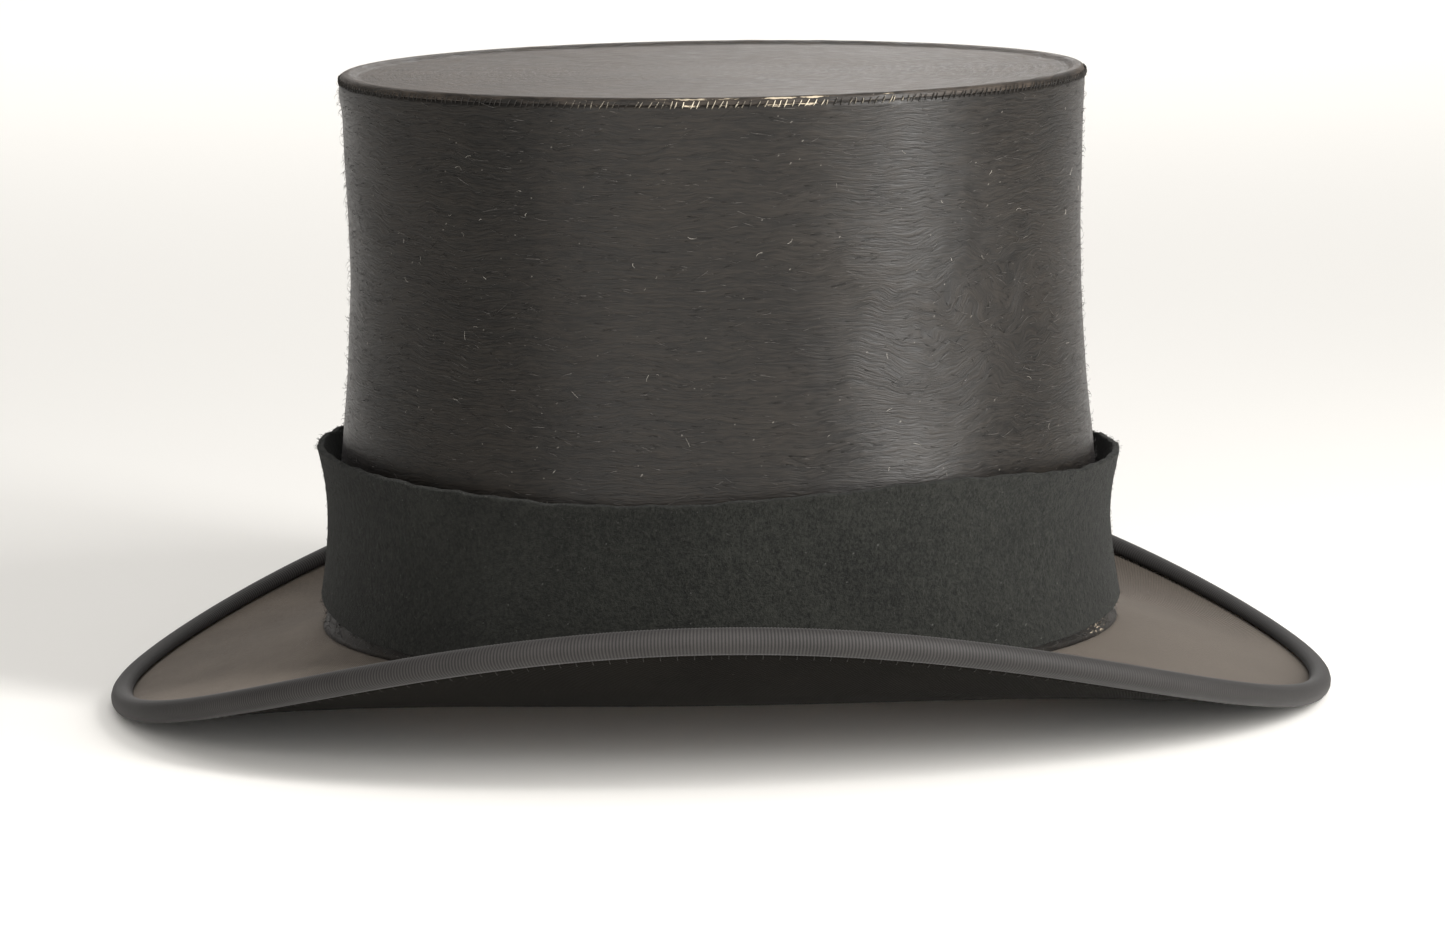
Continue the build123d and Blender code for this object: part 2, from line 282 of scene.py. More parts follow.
def wrapped(
    name: str, around: int, along: int, place: Placer, **marks: Callable[[float, float], float]
) -> bpy.types.Object:
    """A sheet that goes right round the hat, made from a grid sewn together at the back.

    Args:
        name: The piece's name.
        around: How many faces it has round the hat.
        along: How many faces it has across.
        place: Where a point goes, from its turn in radians and its share of the way across.
        marks: Numbers to store at its vertices for its finish to read, found as place is.

    Returns:
        The new piece, with a UV map that runs round it and across it.
    """
    pick_nothing()
    bpy.ops.mesh.primitive_grid_add(x_subdivisions=around, y_subdivisions=along, size=1)
    piece = bpy.context.object
    piece.name = piece.data.name = name
    spots = [(BACK + (vertex.co.x + 0.5) * TAU, vertex.co.y + 0.5) for vertex in piece.data.vertices]
    piece.data.vertices.foreach_set("co", [number for spot in spots for number in place(*spot)])
    for mark, value in marks.items():
        layer = piece.data.attributes.new(mark, "FLOAT", "POINT")
        layer.data.foreach_set("value", [value(*spot) for spot in spots])
    bpy.ops.object.mode_set(mode="EDIT")
    bpy.ops.mesh.select_all(action="SELECT")
    bpy.ops.mesh.remove_doubles(threshold=MERGE_WITHIN)
    bpy.ops.object.mode_set(mode="OBJECT")
    bpy.ops.object.shade_smooth()
    return piece


def recalculate(piece: bpy.types.Object) -> None:
    """Turn a closed piece's faces outwards."""
    pick_nothing()
    piece.select_set(True)
    bpy.context.view_layer.objects.active = piece
    bpy.ops.object.mode_set(mode="EDIT")
    bpy.ops.mesh.select_all(action="SELECT")
    bpy.ops.mesh.normals_make_consistent(inside=False)
    bpy.ops.object.mode_set(mode="OBJECT")


def thicken(piece: bpy.types.Object, thickness: float) -> None:
    """Give a sheet its thickness, on the side away from its faces' normals."""
    apply_modifier(piece, "SOLIDIFY", thickness=thickness, offset=-1.0, use_even_offset=True)


def remap_across(piece: bpy.types.Object, way: Callable[[float], float]) -> None:
    """Change where a wrapped sheet's UV map runs across it."""
    layer = piece.data.uv_layers["UVMap"].data
    spots = [0.0] * (2 * len(layer))
    layer.foreach_get("uv", spots)
    spots[1::2] = [way(share) for share in spots[1::2]]
    layer.foreach_set("uv", spots)


def paint(piece: bpy.types.Object, name: str, value: Callable[[Vector], float]) -> None:
    """Store a number at every vertex of a piece, for its finish to read."""
    layer = piece.data.attributes.new(name, "FLOAT", "POINT")
    layer.data.foreach_set("value", [value(vertex.co) for vertex in piece.data.vertices])


def from_parts(name: str, parts: Iterable[Shell]) -> bpy.types.Object:
    """One piece made of many small closed shapes, each given by its points and faces."""
    points: list[Place] = []
    faces: list[list[int]] = []
    for own_points, own_faces in parts:
        base = len(points)
        points.extend(own_points)
        faces.extend([base + index for index in face] for face in own_faces)
    mesh = bpy.data.meshes.new(name)
    mesh.from_pydata(points, [], faces)
    mesh.uv_layers.new(name="UVMap")
    piece = bpy.data.objects.new(name, mesh)
    bpy.context.scene.collection.objects.link(piece)
    mesh.shade_smooth()
    return piece


def tube(path: Sequence[Vector], radius: Callable[[float], float], sides: int) -> Shell:
    """The points and faces of a closed tube along a path, with the radius given along it."""
    points: list[Place] = []
    last = len(path) - 1
    side = UP
    for step, centre in enumerate(path):
        aim = (path[min(step + 1, last)] - path[max(step - 1, 0)]).normalized()
        leaning = abs(side.dot(aim)) < 0.95
        side = (side - aim * side.dot(aim)).normalized() if leaning else aim.orthogonal().normalized()
        other = aim.cross(side)
        size = radius(step / last)
        for corner in range(sides):
            angle = TAU * corner / sides
            points.append(tuple(centre + size * (math.cos(angle) * side + math.sin(angle) * other)))
    faces = [
        [step * sides + corner, step * sides + (corner + 1) % sides,
         (step + 1) * sides + (corner + 1) % sides, (step + 1) * sides + corner]
        for step in range(last)
        for corner in range(sides)
    ]
    faces.append(list(reversed(range(sides))))
    faces.append([last * sides + corner for corner in range(sides)])
    return points, faces


def sew(
    name: str, paths: Iterable[Sequence[Vector]], radius: float, sides: int, wear: float
) -> bpy.types.Object:
    """One piece made of threads of one thickness and one wear, laid along these paths."""
    piece = from_parts(name, [tube(path, lambda share: radius, sides) for path in paths])
    paint(piece, "wear", lambda place: wear)
    return piece


def round_edges(piece: bpy.types.Object, width: float) -> None:
    """Round the sharp edges of a thickened sheet."""
    apply_modifier(
        piece, "BEVEL", width=width, segments=2, limit_method="ANGLE", angle_limit=math.radians(50)
    )


def place_piece(
    piece: bpy.types.Object, body: Body, slot: Slot, finish: bpy.types.Material, *nodes: str
) -> None:
    """Dress a piece and hand it to the frame.

    Args:
        piece: The finished piece.
        body: The body that it rides on.
        slot: The record's slot; not used.
        finish: Its material.
        nodes: The CAD nodes that it stands for.
    """
    piece.data.materials.clear()
    piece.data.materials.append(finish)
    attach(piece, body.value)
    if nodes:
        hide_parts(*nodes)
    log.info("%s: %d faces on %s", piece.name, len(piece.data.polygons), body.value)


# ------------------------------------------------------------------ shader work
def maths(operation: str, swapped: bool = False) -> Callable[["Value", object], "Value"]:
    """An operator's method, which adds a Math node with this operation."""

    def method(self: "Value", other: object) -> "Value":
        """The operation's result."""
        terms = (other, self) if swapped else (self, other)
        return self.graph.add("ShaderNodeMath", {"operation": operation}, *terms)

    return method


class Value:
    """A shader socket that takes Python's operators."""

    def __init__(self, graph: "Graph", socket: bpy.types.NodeSocket) -> None:
        """Wrap a socket of a graph."""
        self.graph = graph
        self.socket = socket

    __add__ = __radd__ = maths("ADD")
    __mul__ = __rmul__ = maths("MULTIPLY")
    __sub__ = maths("SUBTRACT")
    __rsub__ = maths("SUBTRACT", swapped=True)

    def ramp(self, low: float, high: float) -> "Value":
        """A soft step from 0 at low to 1 at high."""
        settings = {"interpolation_type": "SMOOTHSTEP"}
        return self.graph.add("ShaderNodeMapRange", settings, self, low, high, 0.0, 1.0)


class Graph:
    """One material's shader nodes."""

    def __init__(self, name: str) -> None:
        """Start a material of this name."""
        self.material = bpy.data.materials.new(name)
        self.material.use_nodes = True
        self.tree = self.material.node_tree
        self.shader = self.tree.nodes["Principled BSDF"]

    def add(
        self, kind: str, settings: dict[str, object], *inputs: object, output: int = 0, **named: object
    ) -> Value:
        """Add any node.

        Args:
            kind: The node's type.
            settings: Its settings, set first.
            inputs: Values or links for its sockets, in order; None leaves a socket alone.
            output: Which output is given back.
            named: Values or links for sockets by name, with underscores for spaces.

        Returns:
            The output, wrapped.
        """
        node = self.tree.nodes.new(kind)
        for name, value in settings.items():
            setattr(node, name, value)
        for index, value in enumerate(inputs):
            self._feed(node.inputs[index], value)
        for name, value in named.items():
            self._feed(node.inputs[name.replace("_", " ")], value)
        return Value(self, node.outputs[output])

    def _feed(self, socket: bpy.types.NodeSocket, value: object) -> None:
        """Set a socket's number, or link it to another's output."""
        if isinstance(value, Value):
            self.tree.links.new(value.socket, socket)
        elif value is not None:
            socket.default_value = value

    def surface(self, scale: tuple[float, float]) -> Value:
        """The piece's own UV map, scaled."""
        uv = self.add("ShaderNodeUVMap", {"uv_map": "UVMap"})
        return self.add("ShaderNodeMapping", {}, uv, Scale=(scale[0], scale[1], 1))

    def space(self, scale: tuple[float, float, float] = (1000, 1000, 1000)) -> Value:
        """Object coordinates, in millimetres unless another scale is given."""
        place = self.add("ShaderNodeTexCoord", {}, output=3)
        return self.add("ShaderNodeMapping", {}, place, Scale=scale)

    def ahead(self, space: Value, low: float, high: float) -> Value:
        """Rise from 0 to 1 between two distances ahead of the middle, in millimetres."""
        return self.add("ShaderNodeSeparateXYZ", {}, space, output=0).ramp(low, high)

    def spread(self, vector: Value, scale: tuple[float, float, float]) -> Value:
        """A vector, stretched by this scale."""
        return self.add("ShaderNodeVectorMath", {"operation": "MULTIPLY"}, vector, scale)

    def shift(self, vector: Value, by: Value, amount: tuple[float, float, float]) -> Value:
        """A vector, moved along amount by a number."""
        move = self.add("ShaderNodeVectorMath", {"operation": "SCALE"}, amount, Scale=by)
        return self.add("ShaderNodeVectorMath", {"operation": "ADD"}, vector, move)

    def noise(self, vector: Value, scale: float = 1.0, detail: float = 3.0, rough: float = 0.55) -> Value:
        """Smooth noise, from about 0 to 1."""
        return self.add("ShaderNodeTexNoise", {}, Vector=vector, Scale=scale, Detail=detail, Roughness=rough)

    def specks(self, vector: Value, scale: float, size: float) -> Value:
        """Small round specks, one in each cell of a Voronoi pattern."""
        away = self.add("ShaderNodeTexVoronoi", {}, Vector=vector, Scale=scale)
        return 1 - away.ramp(size * 0.5, size)

    def wave(self, vector: Value, scale: float, direction: str = "X", distortion: float = 0.0) -> Value:
        """Even waves across a vector, from 0 to 1."""
        settings = {"wave_type": "BANDS", "bands_direction": direction}
        named = {"Vector": vector, "Scale": scale, "Distortion": distortion}
        return self.add("ShaderNodeTexWave", settings, output=1, **named)

    def stored(self, name: str) -> Value:
        """A number stored at the piece's vertices."""
        return self.add("ShaderNodeAttribute", {"attribute_name": name}, output=2)

    def blend(self, low: object, high: object, share: object) -> Value:
        """A colour between two, each given as another node's colour or as an opaque one."""
        node = self.tree.nodes.new("ShaderNodeMix")
        node.data_type = "RGBA"
        for index, value in ((0, share), (6, low), (7, high)):
            self._feed(node.inputs[index], (*value, 1.0) if isinstance(value, tuple) else value)
        return Value(self, node.outputs[2])

    def bump(self, height: Value, depth: float, strength: float = 1.0) -> Value:
        """A normal pressed in by a height, at most depth metres."""
        return self.add("ShaderNodeBump", {}, Strength=strength, Distance=depth, Height=height)

    def finish(self, **sockets: object) -> bpy.types.Material:
        """Set the surface's sockets, by name, and give the material back."""
        for name, value in sockets.items():
            self._feed(self.shader.inputs[name.replace("_", " ")], value)
        return self.material


@dataclass(frozen=True)
class PlushFinish:
    """Silk plush, its pile brushed along the UV map's first direction."""

    name: str
    size_mm: tuple[float, float]
    deep: Colour = (0.0042, 0.0035, 0.0028)
    faded: Colour = (0.0165, 0.0132, 0.0100)
    canvas: Colour = (0.46, 0.39, 0.29)
    strand_mm: tuple[float, float] = (4.6, 0.60)
    waviness_mm: float = 3.6
    relief: float = 0.27 * MM
    gloss: float = 0.31
    sheen: float = 0.05
    sheen_tint: Colour = (0.86, 0.83, 0.90)

    def material(self) -> bpy.types.Material:
        """Build the material."""
        graph = Graph(self.name)
        place = graph.surface(self.size_mm)
        sway = graph.noise(place, 0.045, 2.0) - 0.5
        ruffled = graph.stored("ruffled")
        swayed = graph.shift(place, sway * (ruffled * 9.0 + 1.0), (0.0, self.waviness_mm, 0.0))
        long, wide = self.strand_mm
        locks = graph.noise(graph.spread(swayed, (0.22 / long, 0.30 / wide, 1.0)), 1.0, 3.0, 0.6)
        strands = graph.noise(graph.spread(swayed, (1 / long, 1 / wide, 1.0)), 1.0, 4.0, 0.6)
        hairs = graph.noise(graph.spread(swayed, (1.8 / long, 2.1 / wide, 1.0)), 1.0, 2.0)
        cloud = graph.noise(place, 0.028, 3.0)
        fade = (strands * 0.9 + locks * 0.6 + cloud * 0.5 + hairs * 0.5).ramp(1.0, 1.55)
        colour = graph.blend(self.deep, self.faded, fade)
        lint = graph.specks(graph.shift(place, hairs, (1.0, 1.0, 0.0)), 0.30, 0.06)
        colour = graph.blend(colour, DUST, lint * 0.5)
        threads = graph.noise(graph.spread(place, (0.34, 1.5, 1.0)), 1.0, 4.0, 0.7)
        worn = (graph.stored("wear") + (threads - 0.5) * 1.9).ramp(0.66, 0.84)
        colour = graph.blend(colour, self.canvas, worn)
        height = (strands * 0.55 + locks * 0.45 + hairs * 0.22) * (1.0 - graph.stored("calm")) - worn * 0.5
        rough = strands * 0.42 + worn * 0.4 + (self.gloss - 0.21) + cloud * 0.12 + ruffled * 0.14
        return graph.finish(
            Base_Color=colour,
            Roughness=rough,
            Normal=graph.bump(height, self.relief, 1.0),
            Specular_IOR_Level=0.30,
            Sheen_Weight=self.sheen,
            Sheen_Roughness=0.38,
            Sheen_Tint=(*self.sheen_tint, 1.0),
        )


@dataclass(frozen=True)
class FeltFinish:
    """Milled woollen cloth: matted fibres with lint on them."""

    name: str
    deep: Colour = (0.0050, 0.0054, 0.0046)
    faded: Colour = (0.0225, 0.0235, 0.0198)
    lint: Colour = (0.16, 0.16, 0.15)
    sheen: float = 0.05

    def material(self) -> bpy.types.Material:
        """Build the material."""
        graph = Graph(self.name)
        place = graph.space()
        fibres = graph.noise(place, 1.30, 5.0, 0.74)
        tufts = graph.noise(place, 0.55, 3.0)
        cloud = graph.noise(place, 0.03, 2.0)
        shade = (fibres + tufts * 0.35 + cloud * 0.25).ramp(0.62, 1.02)
        colour = graph.blend(self.deep, self.faded, shade)
        specks = graph.specks(graph.shift(place, fibres, (2.0, 2.0, 2.0)), 0.30, 0.07)
        colour = graph.blend(colour, self.lint, specks * 0.5)
        return graph.finish(
            Base_Color=colour,
            Roughness=fibres * 0.1 + 0.86,
            Normal=graph.bump(fibres * 0.8 + tufts * 0.5, 0.7 * MM, 1.0),
            Specular_IOR_Level=0.22,
            Sheen_Weight=self.sheen,
            Sheen_Roughness=0.5,
        )


@dataclass(frozen=True)
class TwillFinish:
    """Fine twilled cloth, faded and rubbed, on the UV map, with painted shade darkening it towards the front
    (+X).
    """

    name: str
    size_mm: tuple[float, float]
    deep: Colour = (0.045, 0.037, 0.030)
    faded: Colour = (0.125, 0.103, 0.083)
    twill_mm: float = 0.9
    sheen: float = 0.15
    lint_share: float = 0.3
    specular: float = 0.3

    def material(self) -> bpy.types.Material:
        """Build the material."""
        graph = Graph(self.name)
        place = graph.surface(self.size_mm)
        space = graph.space()
        twill = graph.wave(place, math.pi / 5 / self.twill_mm, "DIAGONAL", 1.0)
        nap = graph.noise(space, 1.1, 5.0, 0.7)
        cloud = graph.noise(space, 0.035, 4.0, 0.6)
        painted_shade_ahead = graph.ahead(space, -130.0, 120.0)
        # Painted shade: the colour is lightened towards the back and darkened towards the front (+X).
        shade = (cloud * 0.8 + nap * 0.5 + twill * 0.10).ramp(0.28, 1.14) * (1.15 - painted_shade_ahead * 0.85)
        colour = graph.blend(self.deep, self.faded, shade)
        specks = graph.specks(graph.shift(space, nap, (2.0, 2.0, 2.0)), 0.25, 0.06)
        colour = graph.blend(colour, DUST, specks * self.lint_share)
        return graph.finish(
            Base_Color=colour,
            Roughness=nap * 0.15 + 0.74,
            Normal=graph.bump(twill * 0.5 + nap * 0.6, 0.22 * MM, 0.8),
            Specular_IOR_Level=self.specular,
            Sheen_Weight=self.sheen,
            Sheen_Roughness=0.45,
            Sheen_Tint=(0.95, 0.83, 0.72, 1.0),
        )


@dataclass(frozen=True)
class RibbonFinish:
    """Corded silk ribbon, faded in clouds, with painted shade in the furrows between its cords and towards
    the front (+X); its cords are in the mesh.
    """

    name: str
    deep: Colour = (0.0065, 0.0060, 0.0057)
    faded: Colour = (0.040, 0.0360, 0.0345)
    sheen: float = 0.08

    def material(self) -> bpy.types.Material:
        """Build the material."""
        graph = Graph(self.name)
        space = graph.space()
        ridge = graph.stored("ridge")
        wool = graph.noise(space, 2.2, 4.0, 0.65)
        cloud = graph.noise(space, 0.05, 3.0)
        painted_shade_ahead = graph.ahead(space, 20.0, 90.0)
        # Painted shade: ridge darkens the furrows between the cords, and the colour darkens towards the front
        # (+X).
        shade = (ridge * 0.8 + wool * 0.4 + cloud * 0.5).ramp(0.40, 1.35) * (1.0 - painted_shade_ahead * 0.4)
        return graph.finish(
            Base_Color=graph.blend(self.deep, self.faded, shade),
            Roughness=0.72 - ridge * 0.12 + wool * 0.08,
            Normal=graph.bump(wool, 0.08 * MM, 0.5),
            Specular_IOR_Level=0.4,
            Sheen_Weight=self.sheen,
            Sheen_Roughness=0.4,
        )


@dataclass(frozen=True)
class ThreadFinish:
    """Sewing thread, dark where it is sound and pale where the store says that it is worn."""

    name: str
    sound: Colour = (0.018, 0.016, 0.014)
    worn: Colour = (0.62, 0.55, 0.43)
    rough: float = 0.62

    def material(self) -> bpy.types.Material:
        """Build the material."""
        graph = Graph(self.name)
        fibre = graph.noise(graph.space((2500, 2500, 2500)), 1.0, 3.0)
        shade = (graph.stored("wear") + (fibre - 0.5) * 0.5).ramp(0.3, 0.75)
        return graph.finish(
            Base_Color=graph.blend(self.sound, self.worn, shade),
            Roughness=fibre * 0.2 + self.rough,
            Normal=graph.bump(fibre, 0.06 * MM, 0.6),
            Specular_IOR_Level=0.3,
        )


@dataclass(frozen=True)
class LeatherFinish:
    """Thin sheepskin, creased and darkened by wear."""

    name: str
    deep: Colour = (0.13, 0.065, 0.030)
    pale: Colour = (0.36, 0.21, 0.11)
    gloss: float = 0.42

    def material(self) -> bpy.types.Material:
        """Build the material."""
        graph = Graph(self.name)
        space = graph.space()
        grain = graph.add("ShaderNodeTexVoronoi", {"feature": "DISTANCE_TO_EDGE"}, Vector=space, Scale=1.4)
        crease = graph.noise(graph.spread(space, (0.3, 0.3, 0.06)), 1.0, 5.0, 0.65)
        stain = graph.noise(space, 0.05, 4.0, 0.6)
        colour = graph.blend(self.deep, self.pale, (stain * 0.9 + crease * 0.3).ramp(0.35, 0.85))
        return graph.finish(
            Base_Color=colour,
            Roughness=stain * 0.2 + self.gloss,
            Normal=graph.bump(grain.ramp(0.0, 0.25) * 0.4 + crease * 0.8, 0.25 * MM, 0.7),
        )


@dataclass(frozen=True)
class SatinFinish:
    """Silk satin, faintly ribbed along the UV map and yellowed in clouds."""

    name: str
    size_mm: tuple[float, float]
    pale: Colour = (0.66, 0.58, 0.44)
    stained: Colour = (0.42, 0.32, 0.19)
    gloss: float = 0.32

    def material(self) -> bpy.types.Material:
        """Build the material."""
        graph = Graph(self.name)
        place = graph.surface(self.size_mm)
        weft = graph.noise(graph.spread(place, (0.3, 5.0, 1.0)), 1.0, 3.0)
        stain = graph.noise(graph.space(), 0.022, 5.0, 0.6)
        return graph.finish(
            Base_Color=graph.blend(self.pale, self.stained, stain.ramp(0.42, 0.78)),
            Roughness=weft * 0.14 + self.gloss,
            Normal=graph.bump(weft, 0.08 * MM, 0.5),
            Sheen_Weight=0.15,
        )


@dataclass(frozen=True)
class CanvasFinish:
    """Plain woven cloth, stiff with shellac or bare."""

    name: str
    pale: Colour = (0.44, 0.34, 0.20)
    deep: Colour = (0.24, 0.16, 0.08)
    gloss: float = 0.55

    def material(self) -> bpy.types.Material:
        """Build the material."""
        graph = Graph(self.name)
        space = graph.space()
        warp = graph.wave(space, 0.55, "Z", 0.6)
        weft = graph.wave(space, 0.55, "X", 0.6)
        stain = graph.noise(space, 0.06, 4.0)
        colour = graph.blend(self.deep, self.pale, (stain * 0.8 + warp * weft * 0.4).ramp(0.3, 0.9))
        return graph.finish(
            Base_Color=colour,
            Roughness=stain * 0.2 + self.gloss,
            Normal=graph.bump(warp * weft, 0.15 * MM, 0.6),
        )


# ------------------------------------------------------------------ crown
@dataclass
class Crown:
    """Plush of the side and the tip, the stitched rim and the loose pile that stands off it."""

    foot: float = field(init=False)
    seam: float = field(init=False)
    top: float = field(init=False)
    plush_thick: float = 1.0 * MM
    foot_curl: float = 0.9 * MM
    foot_curl_height: float = 2.2 * MM
    margin: float = 3.2 * MM
    rim_round: float = 1.0 * MM
    dish: float = 0.95 * MM
    over_share: float = 0.16
    rim_spread: float = 1.3
    crowding: float = 1.35
    skin_gap: float = 0.1 * MM
    tip_plush_thick: float = 0.85 * MM
    stitch_count: int = 340
    stitch_length: float = 1.7 * MM
    stitch_radius: float = 0.14 * MM
    fibre_count: int = 9000
    lint_count: int = 160
    dents: Ripple = field(default_factory=lambda: Ripple(3, (2, 3, 5, 8, 13), 0.14 * MM))
    rim_waver: Ripple = field(default_factory=lambda: Ripple(5, (3, 7, 19, 31, 57), 0.16 * MM))

    def __post_init__(self) -> None:
        """Read the crown's heights from the frame."""
        low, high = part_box("crown_plush")
        self.foot = low[2]
        self.seam = high[2]
        self.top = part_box("tip_plush")[1][2]

    def side_point(self, turn: float, share: float, inset: float = 0.0) -> Place:
        """A point of the side plush, from its foot (share 0) to the seam under the rim (share 1)."""
        height = mix(self.foot, self.seam, share)
        curl = self.foot_curl * math.exp(-(height - self.foot) / self.foot_curl_height)
        rough = self.dents(turn + 3.0 * share) * smooth(0.0, 0.25, share)
        corner = 0.55 * MM * bell(turn, BACK + 0.12, 0.22) * bump(share, 0.975, 0.02)
        return CROWN.point(turn, height, inset - curl - rough - corner)

    def rim_wear(self, turn: float) -> float:
        """How far the rim's plush is worn through at this turn, most on the near side."""
        near = bell(turn, NEAR_SIDE + 0.10, 0.50)
        patchy = 0.5 + 0.28 * math.sin(turn * 23 + 1.3) + 0.22 * math.sin(turn * 57 + 0.4)
        return near * (0.35 + 0.75 * patchy)

    def side_wear(self, turn: float, share: float) -> float:
        """How worn the side's plush is here."""
        foot = bell(turn, -0.34, 0.13) * bump(share, 0.02, 0.05)
        scuffs = 0.22 * bump(share, 0.0, 0.05)
        return self.rim_wear(turn) * bump(share, 1.0, 0.008) + 0.44 * foot + scuffs

    def tip_wear(self, turn: float, share: float) -> float:
        """How worn the tip's plush is here."""
        return 0.95 * self.rim_wear(turn) * bump(share, 0.09, 0.035) + 0.10 * bump(share, 0.12, 0.06)

    def ruffled(self, turn: float, share: float) -> float:
        """How ruffled the side's pile is, most towards the front of the near side."""
        spot = bell(turn, NEAR_SIDE + 0.80, 0.30) * bump(share, 0.60, 0.17)
        back = bell(turn, BACK + 0.35, 0.5) * bump(share, 0.72, 0.22)
        return min(1.0, 0.06 + spot + 0.25 * back + 0.7 * bump(share, 0.0, 0.08))

    def build_side(self) -> None:
        """Make the plush that goes round the side."""
        finish = PlushFinish("side_plush", (555.0, 137.0)).material()
        piece = wrapped(
            "crown_side_plush", 512, 110, self.side_point, wear=self.side_wear, ruffled=self.ruffled,
            calm=lambda turn, share: 0.0
        )
        thicken(piece, self.plush_thick)
        place_piece(piece, Body.HAT, Slot.PLUSH, finish, "crown_plush")

    def tip_point(self, turn: float, share: float) -> Place:
        """A point of the tip plush, from the seam over the rim (share 0) to the middle (share 1)."""
        waver = self.rim_waver(turn)
        if share < self.over_share:
            base = self.seam + 0.06 * MM
            bend = share / self.over_share * math.pi / 2
            inset = self.rim_round * (1 - math.cos(bend)) * self.rim_spread
            height = base + (self.top - base) * math.sin(bend) - self.skin_gap
            return CROWN.point(turn, height, inset - waver * math.cos(bend))
        inward = self.inward(share)
        across = inward**self.crowding
        half = CROWN.half_length(self.top)
        half_width = half - CROWN.difference
        inset = mix(self.rim_round * self.rim_spread, half, across)
        drop = self.dish * smooth(self.margin * 0.7, self.margin * 1.5, inset)
        swell = 0.35 * MM * smooth(20 * MM, half, inset)
        soft = 0.12 * MM * math.sin(2 * turn + 0.7) * smooth(0, 30 * MM, inset) * (1 - inward)
        x = max(0.0, half - inset) * math.cos(turn)
        y = max(0.0, half_width - inset * mix(1.0, half_width / half, across)) * math.sin(turn)
        return x, y, self.top - self.skin_gap - drop + swell + soft + 0.4 * waver * (1 - inward)

    def inward(self, share: float) -> float:
        """How far in from the rim a share of the tip is, 0 at the rim and 1 in the middle."""
        return (share - self.over_share) / (1 - self.over_share)

    def tip_way(self, share: float) -> float:
        """Where the UV map runs at a share of the tip, evenly over the surface."""
        edge = 0.03
        if share < self.over_share:
            return edge * share / self.over_share
        return mix(edge, 1.0, self.inward(share) ** self.crowding)

    def build_tip(self) -> None:
        """Make the plush of the tip, brushed in rings."""
        finish = PlushFinish(
            "tip_plush",
            (530.0, 90.0),
            faded=(0.044, 0.034, 0.026),
            strand_mm=(8.0, 1.2),
            relief=0.36 * MM,
            gloss=0.38,
            sheen=0.11,
            sheen_tint=(0.62, 0.50, 0.42),
        ).material()
        piece = wrapped(
            "crown_tip_plush", 512, 76, self.tip_point, wear=self.tip_wear, ruffled=lambda turn, share: 0.12,
            calm=lambda turn, share: smooth(0.72, 0.97, share)
        )
        remap_across(piece, self.tip_way)
        thicken(piece, self.tip_plush_thick)
        place_piece(piece, Body.HAT, Slot.PLUSH, finish, "tip_plush")

    def stitch(self, turn: float, dice: random.Random) -> Shell:
        """One overcast stitch over the rim's seam."""
        outward = CROWN.outward(turn, self.seam)
        along = sideways(outward)
        lean = dice.uniform(0.25, 0.75)
        length = self.stitch_length * dice.uniform(0.75, 1.2)
        foot = Vector(CROWN.point(turn, self.seam - length * 0.45, -0.12 * MM))
        path = []
        for step in range(5):
            share = step / 4
            lift = (0.22 * math.sin(math.pi * share) + 0.02) * MM + max(0.0, self.rim_waver(turn))
            path.append(foot + (UP + along * lean) * (share * length) + outward * lift)
        return tube(path, lambda share: self.stitch_radius * (0.55 + 0.45 * math.sin(math.pi * share)), 6)

    def build_stitches(self) -> None:
        """Make the overcast stitches round the rim, worn pale on the near side."""
        dice = random.Random(11)
        steps = [step + dice.uniform(-0.25, 0.25) for step in range(self.stitch_count)]
        turns = [TAU * step / self.stitch_count for step in steps]
        piece = from_parts("rim_stitches", (self.stitch(turn, dice) for turn in turns))
        half = CROWN.waist_half_length
        width = half - CROWN.difference

        def wear(place: Vector) -> float:
            """How worn the thread is here."""
            return 0.12 + 0.62 * self.rim_wear(math.atan2(place.y / width, place.x / half))

        paint(piece, "wear", wear)
        finish = ThreadFinish("rim_thread").material()
        place_piece(piece, Body.HAT, Slot.WORN_THREAD, finish, "tip_edge_stitches")

    def fibre(self, dice: random.Random) -> Shell:
        """One loose hair of the side's pile."""
        turn = dice.uniform(0, TAU)
        share = dice.uniform(0.02, 0.995) if dice.random() < 0.86 else dice.uniform(0.004, 0.05)
        height = mix(self.foot, self.seam, share)
        outward = CROWN.outward(turn, height)
        along = sideways(outward)
        start = Vector(self.side_point(turn, share, 0.15 * MM))
        wild = self.ruffled(turn, share)
        length = dice.uniform(1.8, 5.2) * MM
        slope = dice.gauss(0, 0.10 + 0.55 * wild)
        lift = dice.uniform(0.10, 0.42) + 0.25 * wild * dice.random()
        bow = dice.uniform(-0.3, 0.3)
        aim = (along * math.cos(slope) + UP * math.sin(slope)) * dice.choice((1, 1, 1, -1))
        path = [
            start + (aim + UP * (bow * t) + outward * (lift * (1.35 - 0.8 * t))) * (length * t)
            for t in (0.0, 0.35, 0.7, 1.0)
        ]
        return tube(path, lambda t: 0.062 * MM * (1.05 - 0.8 * t), 3)

    def build_pile(self) -> None:
        """Make the loose hairs of the pile."""
        dice = random.Random(21)
        piece = from_parts("loose_pile", (self.fibre(dice) for _ in range(self.fibre_count)))
        finish = ThreadFinish(
            "pile_hair", sound=(0.012, 0.011, 0.010), worn=(0.16, 0.15, 0.14), rough=0.28
        ).material()
        paint(piece, "wear", lambda place: 0.35 + 0.35 * math.sin(place.x * 9000) * math.sin(place.z * 7000))
        place_piece(piece, Body.HAT, Slot.PLUSH, finish)

